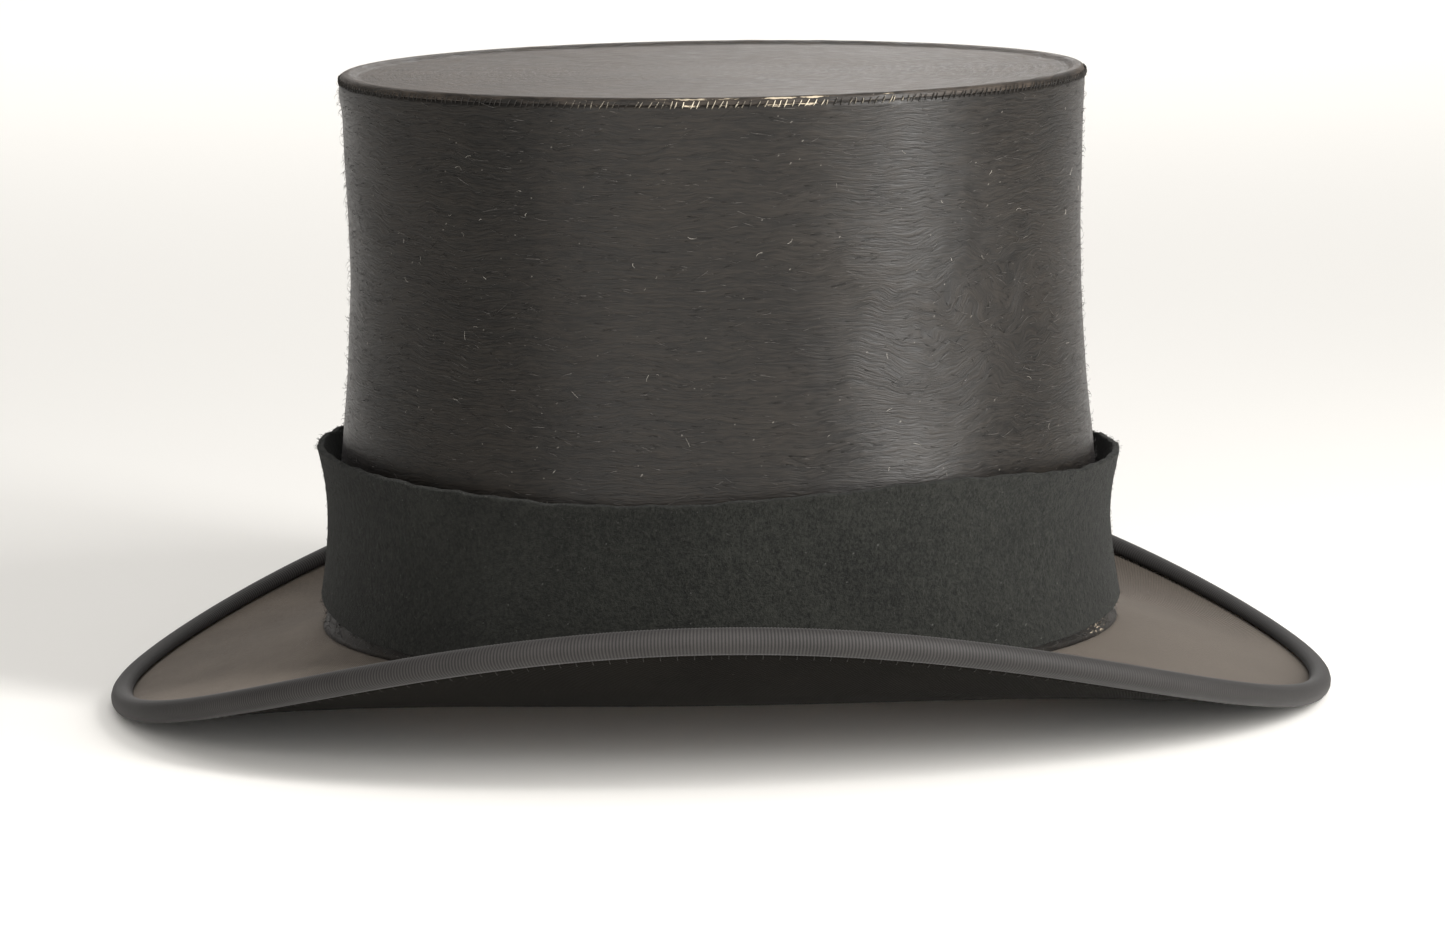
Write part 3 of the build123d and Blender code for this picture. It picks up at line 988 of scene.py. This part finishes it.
    def build_lint(self) -> None:
        """Make the pale lint caught in the plush."""
        dice = random.Random(61)
        parts = []
        for _ in range(self.lint_count):
            turn, share = dice.uniform(0, TAU), dice.uniform(0.04, 0.97)
            start = Vector(self.side_point(turn, share, -0.22 * MM))
            outward = CROWN.outward(turn, start.z)
            spin, curl = dice.uniform(0, TAU), dice.uniform(-2.2, 2.2)
            length = dice.uniform(0.5, 2.4) * MM
            path = [start]
            for step in range(5):
                angle = spin + curl * step / 5
                aim = sideways(outward) * math.cos(angle) + UP * math.sin(angle)
                path.append(path[-1] + aim * (length / 5) + outward * dice.uniform(-0.02, 0.05) * MM)
            parts.append(tube(path, lambda t: 0.030 * MM, 4))
        piece = from_parts("lint", parts)
        finish = ThreadFinish("lint_fibre", sound=DUST, worn=(0.55, 0.52, 0.47)).material()
        paint(piece, "wear", lambda place: 0.5 + 0.5 * math.sin(place.x * 1900))
        place_piece(piece, Body.HAT, Slot.WORN_THREAD, finish)

    def build(self) -> None:
        """Make all of the crown's pieces."""
        self.build_side()
        self.build_tip()
        self.build_stitches()
        self.build_pile()
        self.build_lint()


# ------------------------------------------------------------------ brim
@dataclass
class Brim:
    """Cloth on both faces of the brim and the corded ribbon round its rolled edge."""

    cloth_low: float = 0.66 * MM
    cloth_high: float = 1.12 * MM
    over_end: float = 0.965
    under_end: float = 0.945
    ribbon_near: float = 0.8 * MM
    ribbon_far: float = 1.18 * MM
    ribbon_start: float = 0.95
    lip_start: float = 1.70
    rib_count: int = 1190
    rib_depth: float = 0.15 * MM
    cap: float = 0.45 * MM
    stitch_count: int = 240
    stitch_station: float = 0.915
    waver: Ripple = field(default_factory=lambda: Ripple(9, (2, 3, 5, 9), 0.18 * MM))

    def over_point(self, turn: float, share: float) -> Place:
        """A point of the upper cloth, from its edge under the ribbon (share 0) to the crown (share 1)."""
        station = self.over_end * (1 - share)
        soft = 0.10 * MM * math.sin(7 * turn + 9 * share) * math.sin(math.pi * share)
        inward = -0.7 * MM * smooth(0.96, 1.0, share)
        return BRIM.point(turn, station if share < 1 else inward, self.cloth_high + soft * 0.6)

    def under_point(self, turn: float, share: float) -> Place:
        """A point of the under cloth, from the opening (share 0) to the ribbon (share 1)."""
        station = self.under_end * share if share > 0 else -2.3 * MM
        return BRIM.point(turn, station, -self.cloth_high)

    def build_cloths(self) -> None:
        """Make the cloths on both faces of the brim."""
        over = wrapped("brim_over_cloth", 480, 60, self.over_point)
        thicken(over, self.cloth_high - self.cloth_low)
        finish = TwillFinish("brim_cloth", (760.0, 50.0)).material()
        place_piece(over, Body.HAT, Slot.BRIM_CLOTH, finish, "brim_top_cloth")
        under = wrapped("brim_lower_cloth", 480, 48, self.under_point)
        thicken(under, self.cloth_high - self.cloth_low)
        # The under cloth's near-black colours are painted shade, standing in for the shadow under the brim.
        finish = TwillFinish(
            "under_cloth",
            (760.0, 45.0),
            deep=(0.003, 0.0026, 0.002),
            faded=(0.009, 0.0078, 0.006),
            sheen=0.0,
            lint_share=0.1,
            specular=0.08,
        ).material()
        place_piece(under, Body.HAT, Slot.UNDER_CLOTH, finish, "brim_under_cloth")

    def ribbon_outline(self) -> list[tuple[float, float, float, float]]:
        """The ribbon's cut, anticlockwise: (station, lift, onward, how much the ribs raise it)."""
        near, far, cap, tuck = self.ribbon_near, self.ribbon_far, self.cap, 0.1 * MM
        outer = [(mix(self.ribbon_start, 1.0, step / 3), -far, 0.0, float(step > 0)) for step in range(3)]
        outer += [(1 + step / 12, -far, 0.0, 1.0) for step in range(13)]
        end = [(-0.7 * far, cap * 0.8, 0.8), (0.0, cap * 1.15, 0.6), (0.7 * far, cap * 0.8, 0.3)]
        end += [(far, 0.0, 0.0)]
        lip = [(self.lip_start, far, 0.0, 0.0), (self.lip_start, near, 0.0, 0.0)]
        back = [(2.0, near, tuck, 0.0), (2.0, -near, tuck, 0.0)]
        back += [(station, -near, 0.0, 0.0) for station in (1.66, 1.33, 1.0, self.ribbon_start)]
        return outer + [(2.0, *spot) for spot in end] + lip + back

    def build_ribbon(self) -> None:
        """Make the ribbon with a ridge and a furrow for each of its cords."""
        outline = self.ribbon_outline()
        count = len(outline)
        columns = 2 * self.rib_count

        def place(turn: float, share: float) -> Place:
            """A point of the ribbon's skin."""
            index = round(share * count) % count
            station, lift, onward, raised = outline[index]
            column = round((turn - BACK) / TAU * columns)
            ridge = self.rib_depth * raised * (1 if column % 2 else 0)
            out = lift - ridge if lift < 0 else lift
            out += self.waver(turn) * 0.25 * raised
            return BRIM.point(turn, station, out, onward + (ridge if onward else 0.0))

        def ridge(turn: float, share: float) -> float:
            """1 on a cord and 0 in the furrow beside it."""
            return float(round((turn - BACK) / TAU * columns) % 2)

        piece = wrapped("ribbon_binding", columns, count, place, ridge=ridge)
        place_piece(piece, Body.HAT, Slot.RIBBON, RibbonFinish("ribbon").material(), "brim_binding")

    def build_stitches(self) -> None:
        """Make the small stitches that catch the ribbon's lower edge."""
        length, sag = 1.5 * MM, 0.14 * MM
        paths = []
        for step in range(self.stitch_count):
            turn = TAU * (step + 0.5) / self.stitch_count
            spots = [
                (-self.cloth_high - sag * math.sin(math.pi * t), length * t) for t in (0.0, 0.3, 0.7, 1.0)
            ]
            paths.append([Vector(BRIM.point(turn, self.stitch_station, *spot)) for spot in spots])
        piece = sew("ribbon_stitches", paths, 0.11 * MM, 5, 0.0)
        finish = ThreadFinish("ribbon_thread").material()
        place_piece(piece, Body.HAT, Slot.BLACK_THREAD, finish, "binding_stitches")

    def build(self) -> None:
        """Make all of the brim's pieces."""
        self.build_cloths()
        self.build_ribbon()
        self.build_stitches()


# ------------------------------------------------------------------ cloth band
@dataclass
class ClothBand:
    """The loose woollen band, cut raw, wider than the crown and a little crooked."""

    thick: float = 1.8 * MM
    foot: float = 21.0 * MM
    top: float = 64.0 * MM
    waist: float = 50.0 * MM
    waist_half: float = 98.45 * MM
    foot_flare: float = 3.45 * MM
    top_flare: float = 1.7 * MM
    back_foot_rise: float = 6.0 * MM
    front_foot_rise: float = 3.6 * MM
    lap_turn: float = math.radians(97)
    lap_half_width: float = math.radians(7.5)
    lap_thick: float = 1.5 * MM
    lap_slack: float = 1.015
    lap_stitch_count: int = 9
    fuzz_count: int = 7000
    edge_waver: Ripple = field(default_factory=lambda: Ripple(31, (5, 9, 17, 33, 61), 0.35 * MM))
    body_waver: Ripple = field(default_factory=lambda: Ripple(37, (2, 3, 5, 7), 0.35 * MM))

    def top_height(self, turn: float) -> float:
        """The height of the band's upper edge."""
        lean = -1.9 * MM * math.cos(turn)
        sag = -2.4 * MM * bell(turn, NEAR_SIDE - 0.42, 0.62)
        lift = 2.6 * MM * bell(turn, NEAR_SIDE + 0.55, 0.42)
        return self.top - 0.5 * MM + lean + sag + lift + self.edge_waver(turn)

    def foot_height(self, turn: float) -> float:
        """The height of the band's lower edge."""
        rise = self.back_foot_rise * bell(turn, BACK, 0.48)
        rise += self.front_foot_rise * bell(turn, 0.0, 0.48)
        return self.foot + 0.15 * MM + rise + 0.4 * abs(self.edge_waver(turn + 2.0))

    def point(self, turn: float, share: float) -> Place:
        """A point of the band's outer face, from its foot (share 0) to its top (share 1)."""
        height = mix(self.foot_height(turn), self.top_height(turn), share)
        if height < self.waist:
            part = (self.waist - height) / (self.waist - self.foot)
            half = self.waist_half + self.foot_flare * part**2
        else:
            part = (height - self.waist) / (self.top - self.waist)
            half = self.waist_half + self.top_flare * part**2
        lap = self.lap_thick * smooth(1.0, 0.88, abs(turn_gap(turn, self.lap_turn)) / self.lap_half_width)
        gape = 1.4 * MM * smooth(0.5, 1.0, share) * abs(math.cos(turn)) ** 6 * (0.6 + 0.4 * math.cos(turn))
        soft = self.body_waver(turn + 0.7 * share) * (0.35 + 0.65 * share)
        half += lap + gape + abs(soft) * 0.5
        return half * math.cos(turn), (half - CROWN.difference) * math.sin(turn), height

    def build_cloth(self) -> None:
        """Make the band's cloth."""
        piece = wrapped("woollen_band", 640, 44, self.point)
        thicken(piece, self.thick)
        round_edges(piece, 0.35 * MM)
        dice = random.Random(41)
        moved = [vertex.co + vertex.normal * dice.uniform(-0.05, 0.05) * MM for vertex in piece.data.vertices]
        piece.data.vertices.foreach_set("co", [number for place in moved for number in place])
        bpy.context.view_layer.objects.active = piece
        piece.select_set(True)
        bpy.ops.object.shade_smooth_by_angle(angle=math.radians(60))
        place_piece(piece, Body.BAND, Slot.BAND, FeltFinish("band_felt").material(), "cloth_band")

    def fibre(self, dice: random.Random) -> Shell:
        """One loose curl of wool, most of them at the two edges."""
        turn = dice.uniform(0, TAU)
        edge = dice.random()
        share = dice.uniform(0, 1) if edge < 0.45 else (1.0 if edge < 0.8 else 0.0)
        start = Vector(self.point(turn, share))
        outward = CROWN.outward(turn, start.z)
        along = sideways(outward)
        at_edge = share in (0.0, 1.0)
        start -= outward * (dice.uniform(0.1, self.thick / MM - 0.2) * MM if at_edge else 0.1 * MM)
        start += UP * (0.08 * MM if share == 0.0 else -0.08 * MM)
        spin = dice.uniform(0, TAU)
        away = UP * (1 if share == 1.0 else -0.35) if at_edge else outward
        flat = along * math.cos(spin) + (outward if at_edge else UP) * math.sin(spin)
        length = dice.uniform(0.6, 2.0) * MM
        stand = dice.uniform(0.15, 0.6)
        path = [
            start + flat * (length * t * (1 - 0.3 * t)) + away * (length * stand * t * (1.5 - t))
            for t in (0, 0.4, 0.75, 1)
        ]
        return tube(path, lambda t: 0.045 * MM * (1.1 - 0.7 * t), 3)

    def build_fuzz(self) -> None:
        """Make the loose wool that stands off the band."""
        dice = random.Random(43)
        piece = from_parts("band_fuzz", (self.fibre(dice) for _ in range(self.fuzz_count)))
        paint(piece, "wear", lambda place: 0.30 + 0.3 * math.sin(place.x * 8000) * math.sin(place.z * 6000))
        finish = ThreadFinish("wool_hair", sound=(0.016, 0.016, 0.014), worn=(0.12, 0.12, 0.105)).material()
        place_piece(piece, Body.BAND, Slot.BAND, finish)

    def build_stitches(self) -> None:
        """Make the stitches of the lap, on the wearer's left."""
        turn = self.lap_turn + self.lap_half_width * 0.72
        paths = []
        for step in range(self.lap_stitch_count):
            share = (step + 0.5) / self.lap_stitch_count
            start = Vector(self.point(turn, mix(0.05, 0.95, share)))
            outward = CROWN.outward(turn, start.z)
            along = sideways(outward)
            paths.append([
                start
                + (along * (2.8 * (t - 0.5)) + UP * (0.5 * t) + outward * (0.32 * math.sin(math.pi * t))) * MM
                for t in (0.0, 0.2, 0.4, 0.6, 0.8, 1.0)
            ])
        piece = sew("lap_stitches", paths, 0.2 * MM, 8, 0.05)
        finish = ThreadFinish("lap_thread").material()
        place_piece(piece, Body.BAND, Slot.BLACK_THREAD, finish, "band_lap_stitches")

    def build(self) -> None:
        """Make all of the band's pieces."""
        self.build_cloth()
        self.build_fuzz()
        self.build_stitches()


# ------------------------------------------------------------------ inside of the hat
@dataclass
class Inside:
    """Leather sweatband with its rolled edge, stitches and bow, and the satin lining above it."""

    leather_outer: float = 3.5 * MM
    leather_inner: float = 4.6 * MM
    lining_outer: float = 2.95 * MM
    lining_inner: float = 3.35 * MM
    pleats: int = 84
    pleat_depth: float = 0.9 * MM
    reed_radius: float = 0.8 * MM
    stitch_count: int = 190
    stitch_rise: float = 4.0 * MM
    bow_height: float = 30.0 * MM
    bow_reach: float = 8.6 * MM
    bow_width: float = 8.0 * MM
    bow_waist: float = 3.0 * MM
    tail_length: float = 10.0 * MM
    tail_width: float = 4.2 * MM
    tail_lean: float = math.radians(24)
    ribbon_thick: float = 0.3 * MM
    waver: Ripple = field(default_factory=lambda: Ripple(51, (3, 5, 8, 13, 21), 0.35 * MM))

    def build_leather(self) -> None:
        """Make the leather band."""
        low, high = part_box("sweatband")

        def place(turn: float, share: float) -> Place:
            """A point of its outer face."""
            height = mix(low[2], high[2] + 0.6 * self.waver(turn), share)
            inward = 0.25 * MM * (1 + math.sin(5 * turn + 4 * share)) * smooth(0.1, 1.0, share)
            return CROWN.point(turn, height, self.leather_outer + inward)

        piece = wrapped("leather_band", 384, 36, place)
        thicken(piece, self.leather_inner - self.leather_outer)
        round_edges(piece, 0.3 * MM)
        place_piece(piece, Body.HAT, Slot.LEATHER, LeatherFinish("sweatband_leather").material(), "sweatband")

    def build_reed(self) -> None:
        """Make the rolled edge along the leather's foot."""
        low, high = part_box("sweatband_reed")
        height = (low[2] + high[2]) / 2
        middle = (self.leather_outer + self.leather_inner) / 2

        def place(turn: float, share: float) -> Place:
            """A point of its skin."""
            angle = -TAU * share
            size = self.reed_radius * (1 + 0.06 * math.sin(140 * turn))
            return CROWN.point(turn, height + size * math.sin(angle), middle + size * math.cos(angle))

        piece = wrapped("rolled_edge", 560, 12, place)
        finish = LeatherFinish("reed_leather", deep=(0.07, 0.035, 0.016), pale=(0.22, 0.12, 0.06)).material()
        place_piece(piece, Body.HAT, Slot.REED, finish, "sweatband_reed")

    def build_stitches(self) -> None:
        """Make the row of stitches along the leather."""
        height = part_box("sweatband")[0][2] + self.stitch_rise
        paths = []
        for step in range(self.stitch_count):
            turn = TAU * (step + 0.5) / self.stitch_count
            outward = CROWN.outward(turn, height)
            along = sideways(outward)
            start = Vector(CROWN.point(turn, height, self.leather_inner + 0.05 * MM))
            paths.append([
                start + (along * (1.9 * (t - 0.5)) - outward * (0.22 * math.sin(math.pi * t))) * MM
                for t in (0.0, 0.25, 0.5, 0.75, 1.0)
            ])
        piece = sew("sweatband_thread", paths, 0.17 * MM, 6, 0.8)
        finish = ThreadFinish("pale_thread").material()
        place_piece(piece, Body.HAT, Slot.WORN_THREAD, finish, "sweatband_stitches")

    def on_leather(self, across: float, height: float, off: float) -> Place:
        """A point at the back, across the leather's inner face and off it."""
        half = CROWN.half_length(height) - self.leather_inner - 0.35 * MM - off
        width = half - CROWN.difference
        return -half * math.sqrt(1 - (across / width) ** 2), across, height

    def strip(self, name: str, along: int, place: Placer) -> bpy.types.Object:
        """A short strip of ribbon."""
        pick_nothing()
        bpy.ops.mesh.primitive_grid_add(x_subdivisions=along, y_subdivisions=10, size=1)
        piece = bpy.context.object
        piece.name = piece.data.name = name
        for vertex in piece.data.vertices:
            vertex.co = place(vertex.co.x + 0.5, vertex.co.y + 0.5)
        bpy.ops.object.shade_smooth()
        thicken(piece, self.ribbon_thick)
        return piece

    def build_bow(self) -> None:
        """Make the bow's two loops and two tails, and its knot."""
        pieces = []
        for side in (-1, 1):
            def loop(along: float, across: float, side: int = side) -> Place:
                """A point of one loop."""
                reach = math.sin(math.pi * along)
                width = mix(self.bow_waist, self.bow_width, reach**0.8)
                pinch = 0.35 * MM * math.cos(TAU * 1.5 * (across - 0.5)) * (1 - reach)
                off = mix(0.1, 2.2, along) * MM + 0.5 * MM * reach * math.sin(math.pi * across)
                height = self.bow_height + (across - 0.5) * width
                return self.on_leather(side * (1.2 * MM + self.bow_reach * reach), height, off + pinch)

            def tail(along: float, across: float, side: int = side) -> Place:
                """A point of one tail, with a notched end."""
                notch = 1.4 * MM * (1 - abs(2 * across - 1)) * smooth(0.6, 1.0, along)
                down = self.tail_length * along - notch
                width = mix(self.bow_waist, self.tail_width, smooth(0.0, 0.4, along)) * (across - 0.5)
                ahead, aside = math.cos(self.tail_lean), math.sin(self.tail_lean)
                y = side * (1.0 * MM + down * aside + width * ahead)
                z = self.bow_height - 1.0 * MM - down * ahead + width * aside
                return self.on_leather(y, z, (0.2 + 0.5 * math.sin(math.pi * along)) * MM)

            pieces += [self.strip(f"bow_loop_{side}", 40, loop), self.strip(f"bow_tail_{side}", 24, tail)]
        pick_nothing()
        for piece in pieces:
            piece.select_set(True)
        bpy.context.view_layer.objects.active = pieces[0]
        bpy.ops.object.join()
        bow = bpy.context.object
        bow.name = bow.data.name = "ribbon_bow"
        recalculate(bow)
        ribbon = SatinFinish(
            "bow_silk", (20.0, 8.0), pale=(0.030, 0.027, 0.025), stained=(0.05, 0.044, 0.04)
        ).material()
        place_piece(bow, Body.HAT, Slot.BOW, ribbon, "sweatband_bow")
        pick_nothing()
        centre = self.on_leather(0.0, self.bow_height, 1.6 * MM)
        bpy.ops.mesh.primitive_cube_add(size=1, location=centre, scale=(2.6 * MM, 4.2 * MM, 4.8 * MM))
        knot = bpy.context.object
        bpy.ops.object.transform_apply(location=True, rotation=True, scale=True)
        knot.name = knot.data.name = "bow_knot"
        apply_modifier(knot, "BEVEL", width=0.8 * MM, segments=3)
        apply_modifier(knot, "SUBSURF", levels=2, render_levels=2)
        for vertex in knot.data.vertices:
            vertex.co.x += 0.12 * MM * math.sin((vertex.co.y - centre[1]) * 5200)
        bpy.ops.object.shade_smooth()
        place_piece(knot, Body.HAT, Slot.BOW, ribbon, "sweatband_bow_knot")

    def build_lining(self) -> None:
        """Make the pleated side lining, the tip lining and the cord between them."""
        low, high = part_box("side_lining")
        satin = SatinFinish("side_satin", (530.0, 120.0)).material()

        def place(turn: float, share: float) -> Place:
            """A point of the side lining's outer face."""
            height = mix(low[2], high[2], share)
            fold = (0.5 + 0.5 * math.sin(self.pleats * turn + 1.2 * math.sin(3 * turn))) ** 2
            depth = self.pleat_depth * fold * smooth(70 * MM, 84 * MM, height)
            return CROWN.point(turn, height, self.lining_outer + depth)

        side = wrapped("pleated_lining", 1008, 30, place)
        thicken(side, self.lining_inner - self.lining_outer)
        place_piece(side, Body.HAT, Slot.LINING, satin, "side_lining")
        tip_low, tip_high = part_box("tip_lining")

        def tip_place(turn: float, share: float) -> Place:
            """A point of the tip lining's lower face."""
            fold = 0.25 * MM * math.sin(self.pleats / 2 * turn) * smooth(0.45, 1.0, share)
            x, y = tip_high[0] * share * math.cos(turn), tip_high[1] * share * math.sin(turn)
            return x, y, tip_low[2] - 0.2 * MM - abs(fold) - 0.5 * MM * (1 - share**2)

        tip = wrapped("lining_tip", 512, 40, tip_place)
        thicken(tip, tip_high[2] - tip_low[2])
        tip_satin = SatinFinish("tip_satin", (530.0, 90.0)).material()
        place_piece(tip, Body.HAT, Slot.LINING, tip_satin, "tip_lining")
        cord_low, cord_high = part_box("lining_piping")
        middle = (cord_low[2] + cord_high[2]) / 2

        def cord_place(turn: float, share: float) -> Place:
            """A point of the twisted cord's skin."""
            angle = -TAU * share
            size = 0.56 * MM * (1 + 0.17 * math.cos(2 * angle + 190 * turn))
            inset = self.lining_outer + 1.55 * MM + size * math.cos(angle)
            return CROWN.point(turn, middle - 0.35 * MM + size * math.sin(angle), inset)

        cord = wrapped("lining_cord", 1700, 10, cord_place)
        place_piece(cord, Body.HAT, Slot.LINING, satin, "lining_piping")

    def build(self) -> None:
        """Make all of the pieces inside."""
        self.build_leather()
        self.build_reed()
        self.build_stitches()
        self.build_bow()
        self.build_lining()


# ------------------------------------------------------------------ room
@dataclass
class Studio:
    """A plain pale floor, soft light and the camera."""

    distance: float = 1.350
    height: float = 0.2846
    aside: float = 0.0011
    pitch: float = math.radians(9.63)
    roll: float = math.radians(-0.8)
    lens: float = 135.3
    sensor: float = 36.0
    floor_size: float = 60.0
    floor_colour: Colour = (0.94, 0.925, 0.895)
    lamp_colour: Colour = (1.0, 0.985, 0.965)
    world_colour: Colour = (1.0, 0.985, 0.96)
    world_strength: float = 0.36

    def floor(self) -> None:
        """Make the floor."""
        pick_nothing()
        bpy.ops.mesh.primitive_plane_add(size=self.floor_size, location=(0, 0, 0))
        plane = bpy.context.object
        plane.name = "floor"
        graph = Graph("floor_paint")
        graph.finish(Base_Color=(*self.floor_colour, 1.0), Roughness=0.85, Specular_IOR_Level=0.1)
        plane.data.materials.append(graph.material)

    def camera(self) -> None:
        """Make the camera."""
        data = bpy.data.cameras.new("camera")
        data.lens = self.lens
        data.sensor_width = self.sensor
        data.clip_start, data.clip_end = 0.05, 100.0
        camera = bpy.data.objects.new("camera", data)
        bpy.context.scene.collection.objects.link(camera)
        aim = Matrix.Rotation(math.pi / 2 - self.pitch, 4, "X") @ Matrix.Rotation(self.roll, 4, "Z")
        camera.matrix_world = Matrix.Translation((self.aside, -self.distance, self.height)) @ aim
        bpy.context.scene.camera = camera

    def lamp(
        self,
        name: str,
        azimuth: float,
        away: float,
        height: float,
        size: tuple[float, float],
        power: float,
        toward: Place = (0.0, 0.0, 0.09),
    ) -> None:
        """Make one soft light.

        Args:
            name: Its name.
            azimuth: Its direction from the hat, from -Y towards +X, in degrees.
            away: Its distance from the hat's middle.
            height: Its middle's height.
            size: Its width and its height.
            power: Its power, in watts.
            toward: What it faces.
        """
        data = bpy.data.lights.new(name, "AREA")
        data.shape = "RECTANGLE"
        data.size, data.size_y = size
        data.energy = power
        data.color = self.lamp_colour
        lamp = bpy.data.objects.new(name, data)
        bpy.context.scene.collection.objects.link(lamp)
        angle = math.radians(azimuth)
        place = Vector((away * math.sin(angle), -away * math.cos(angle), height))
        lamp.location = place
        lamp.visible_camera = False
        lamp.rotation_euler = (Vector(toward) - place).to_track_quat("-Z", "Y").to_euler()

    def light(self) -> None:
        """Make the lights and the pale surroundings."""
        world = bpy.data.worlds.new("studio")
        bpy.context.scene.world = world
        world.use_nodes = True
        background = world.node_tree.nodes["Background"]
        background.inputs["Color"].default_value = (*self.world_colour, 1.0)
        background.inputs["Strength"].default_value = self.world_strength
        self.lamp("key", 51, 0.75, 0.39, (0.13, 0.76), 10.8)
        self.lamp("front", -4, 0.95, 0.34, (0.72, 0.66), 2.6)
        self.lamp("front_left", -31, 0.85, 0.36, (0.07, 0.70), 1.2)
        self.lamp("behind", 177, 2.2, 1.1, (0.20, 0.9), 2.8)
        self.lamp("wash", 180, 2.4, 1.8, (4.0, 2.0), 44, (0.0, 2.8, 0.0))
        self.lamp("above", 0, 0.3, 2.6, (2.2, 2.2), 14)
        bpy.context.scene.view_settings.view_transform = "Standard"

    def build(self) -> None:
        """Make the whole room."""
        self.camera()
        self.floor()
        self.light()


def dress_hidden_nodes() -> None:
    """Give the CAD nodes that stay their own finishes."""
    canvas = CanvasFinish("stiffened_calico").material()
    tape = CanvasFinish(
        "linen_tape", pale=(0.60, 0.53, 0.40), deep=(0.42, 0.35, 0.24), gloss=0.8
    ).material()
    for node in ("crown_side_body", "tip_body", "brim_body"):
        dress_node(node, canvas)
    dress_node("joining_strip", tape)


def dress_node(node: str, finish: bpy.types.Material) -> None:
    """Put a finish in a CAD node's material slots."""
    piece = bpy.data.objects[node]
    for slot in piece.material_slots:
        slot.material = finish
    if not piece.material_slots:
        piece.data.materials.append(finish)


def main() -> None:
    """Build the hat's looks and its room."""
    Studio().build()
    Crown().build()
    Brim().build()
    ClothBand().build()
    Inside().build()
    dress_hidden_nodes()


if __name__ == "__main__":
    main()
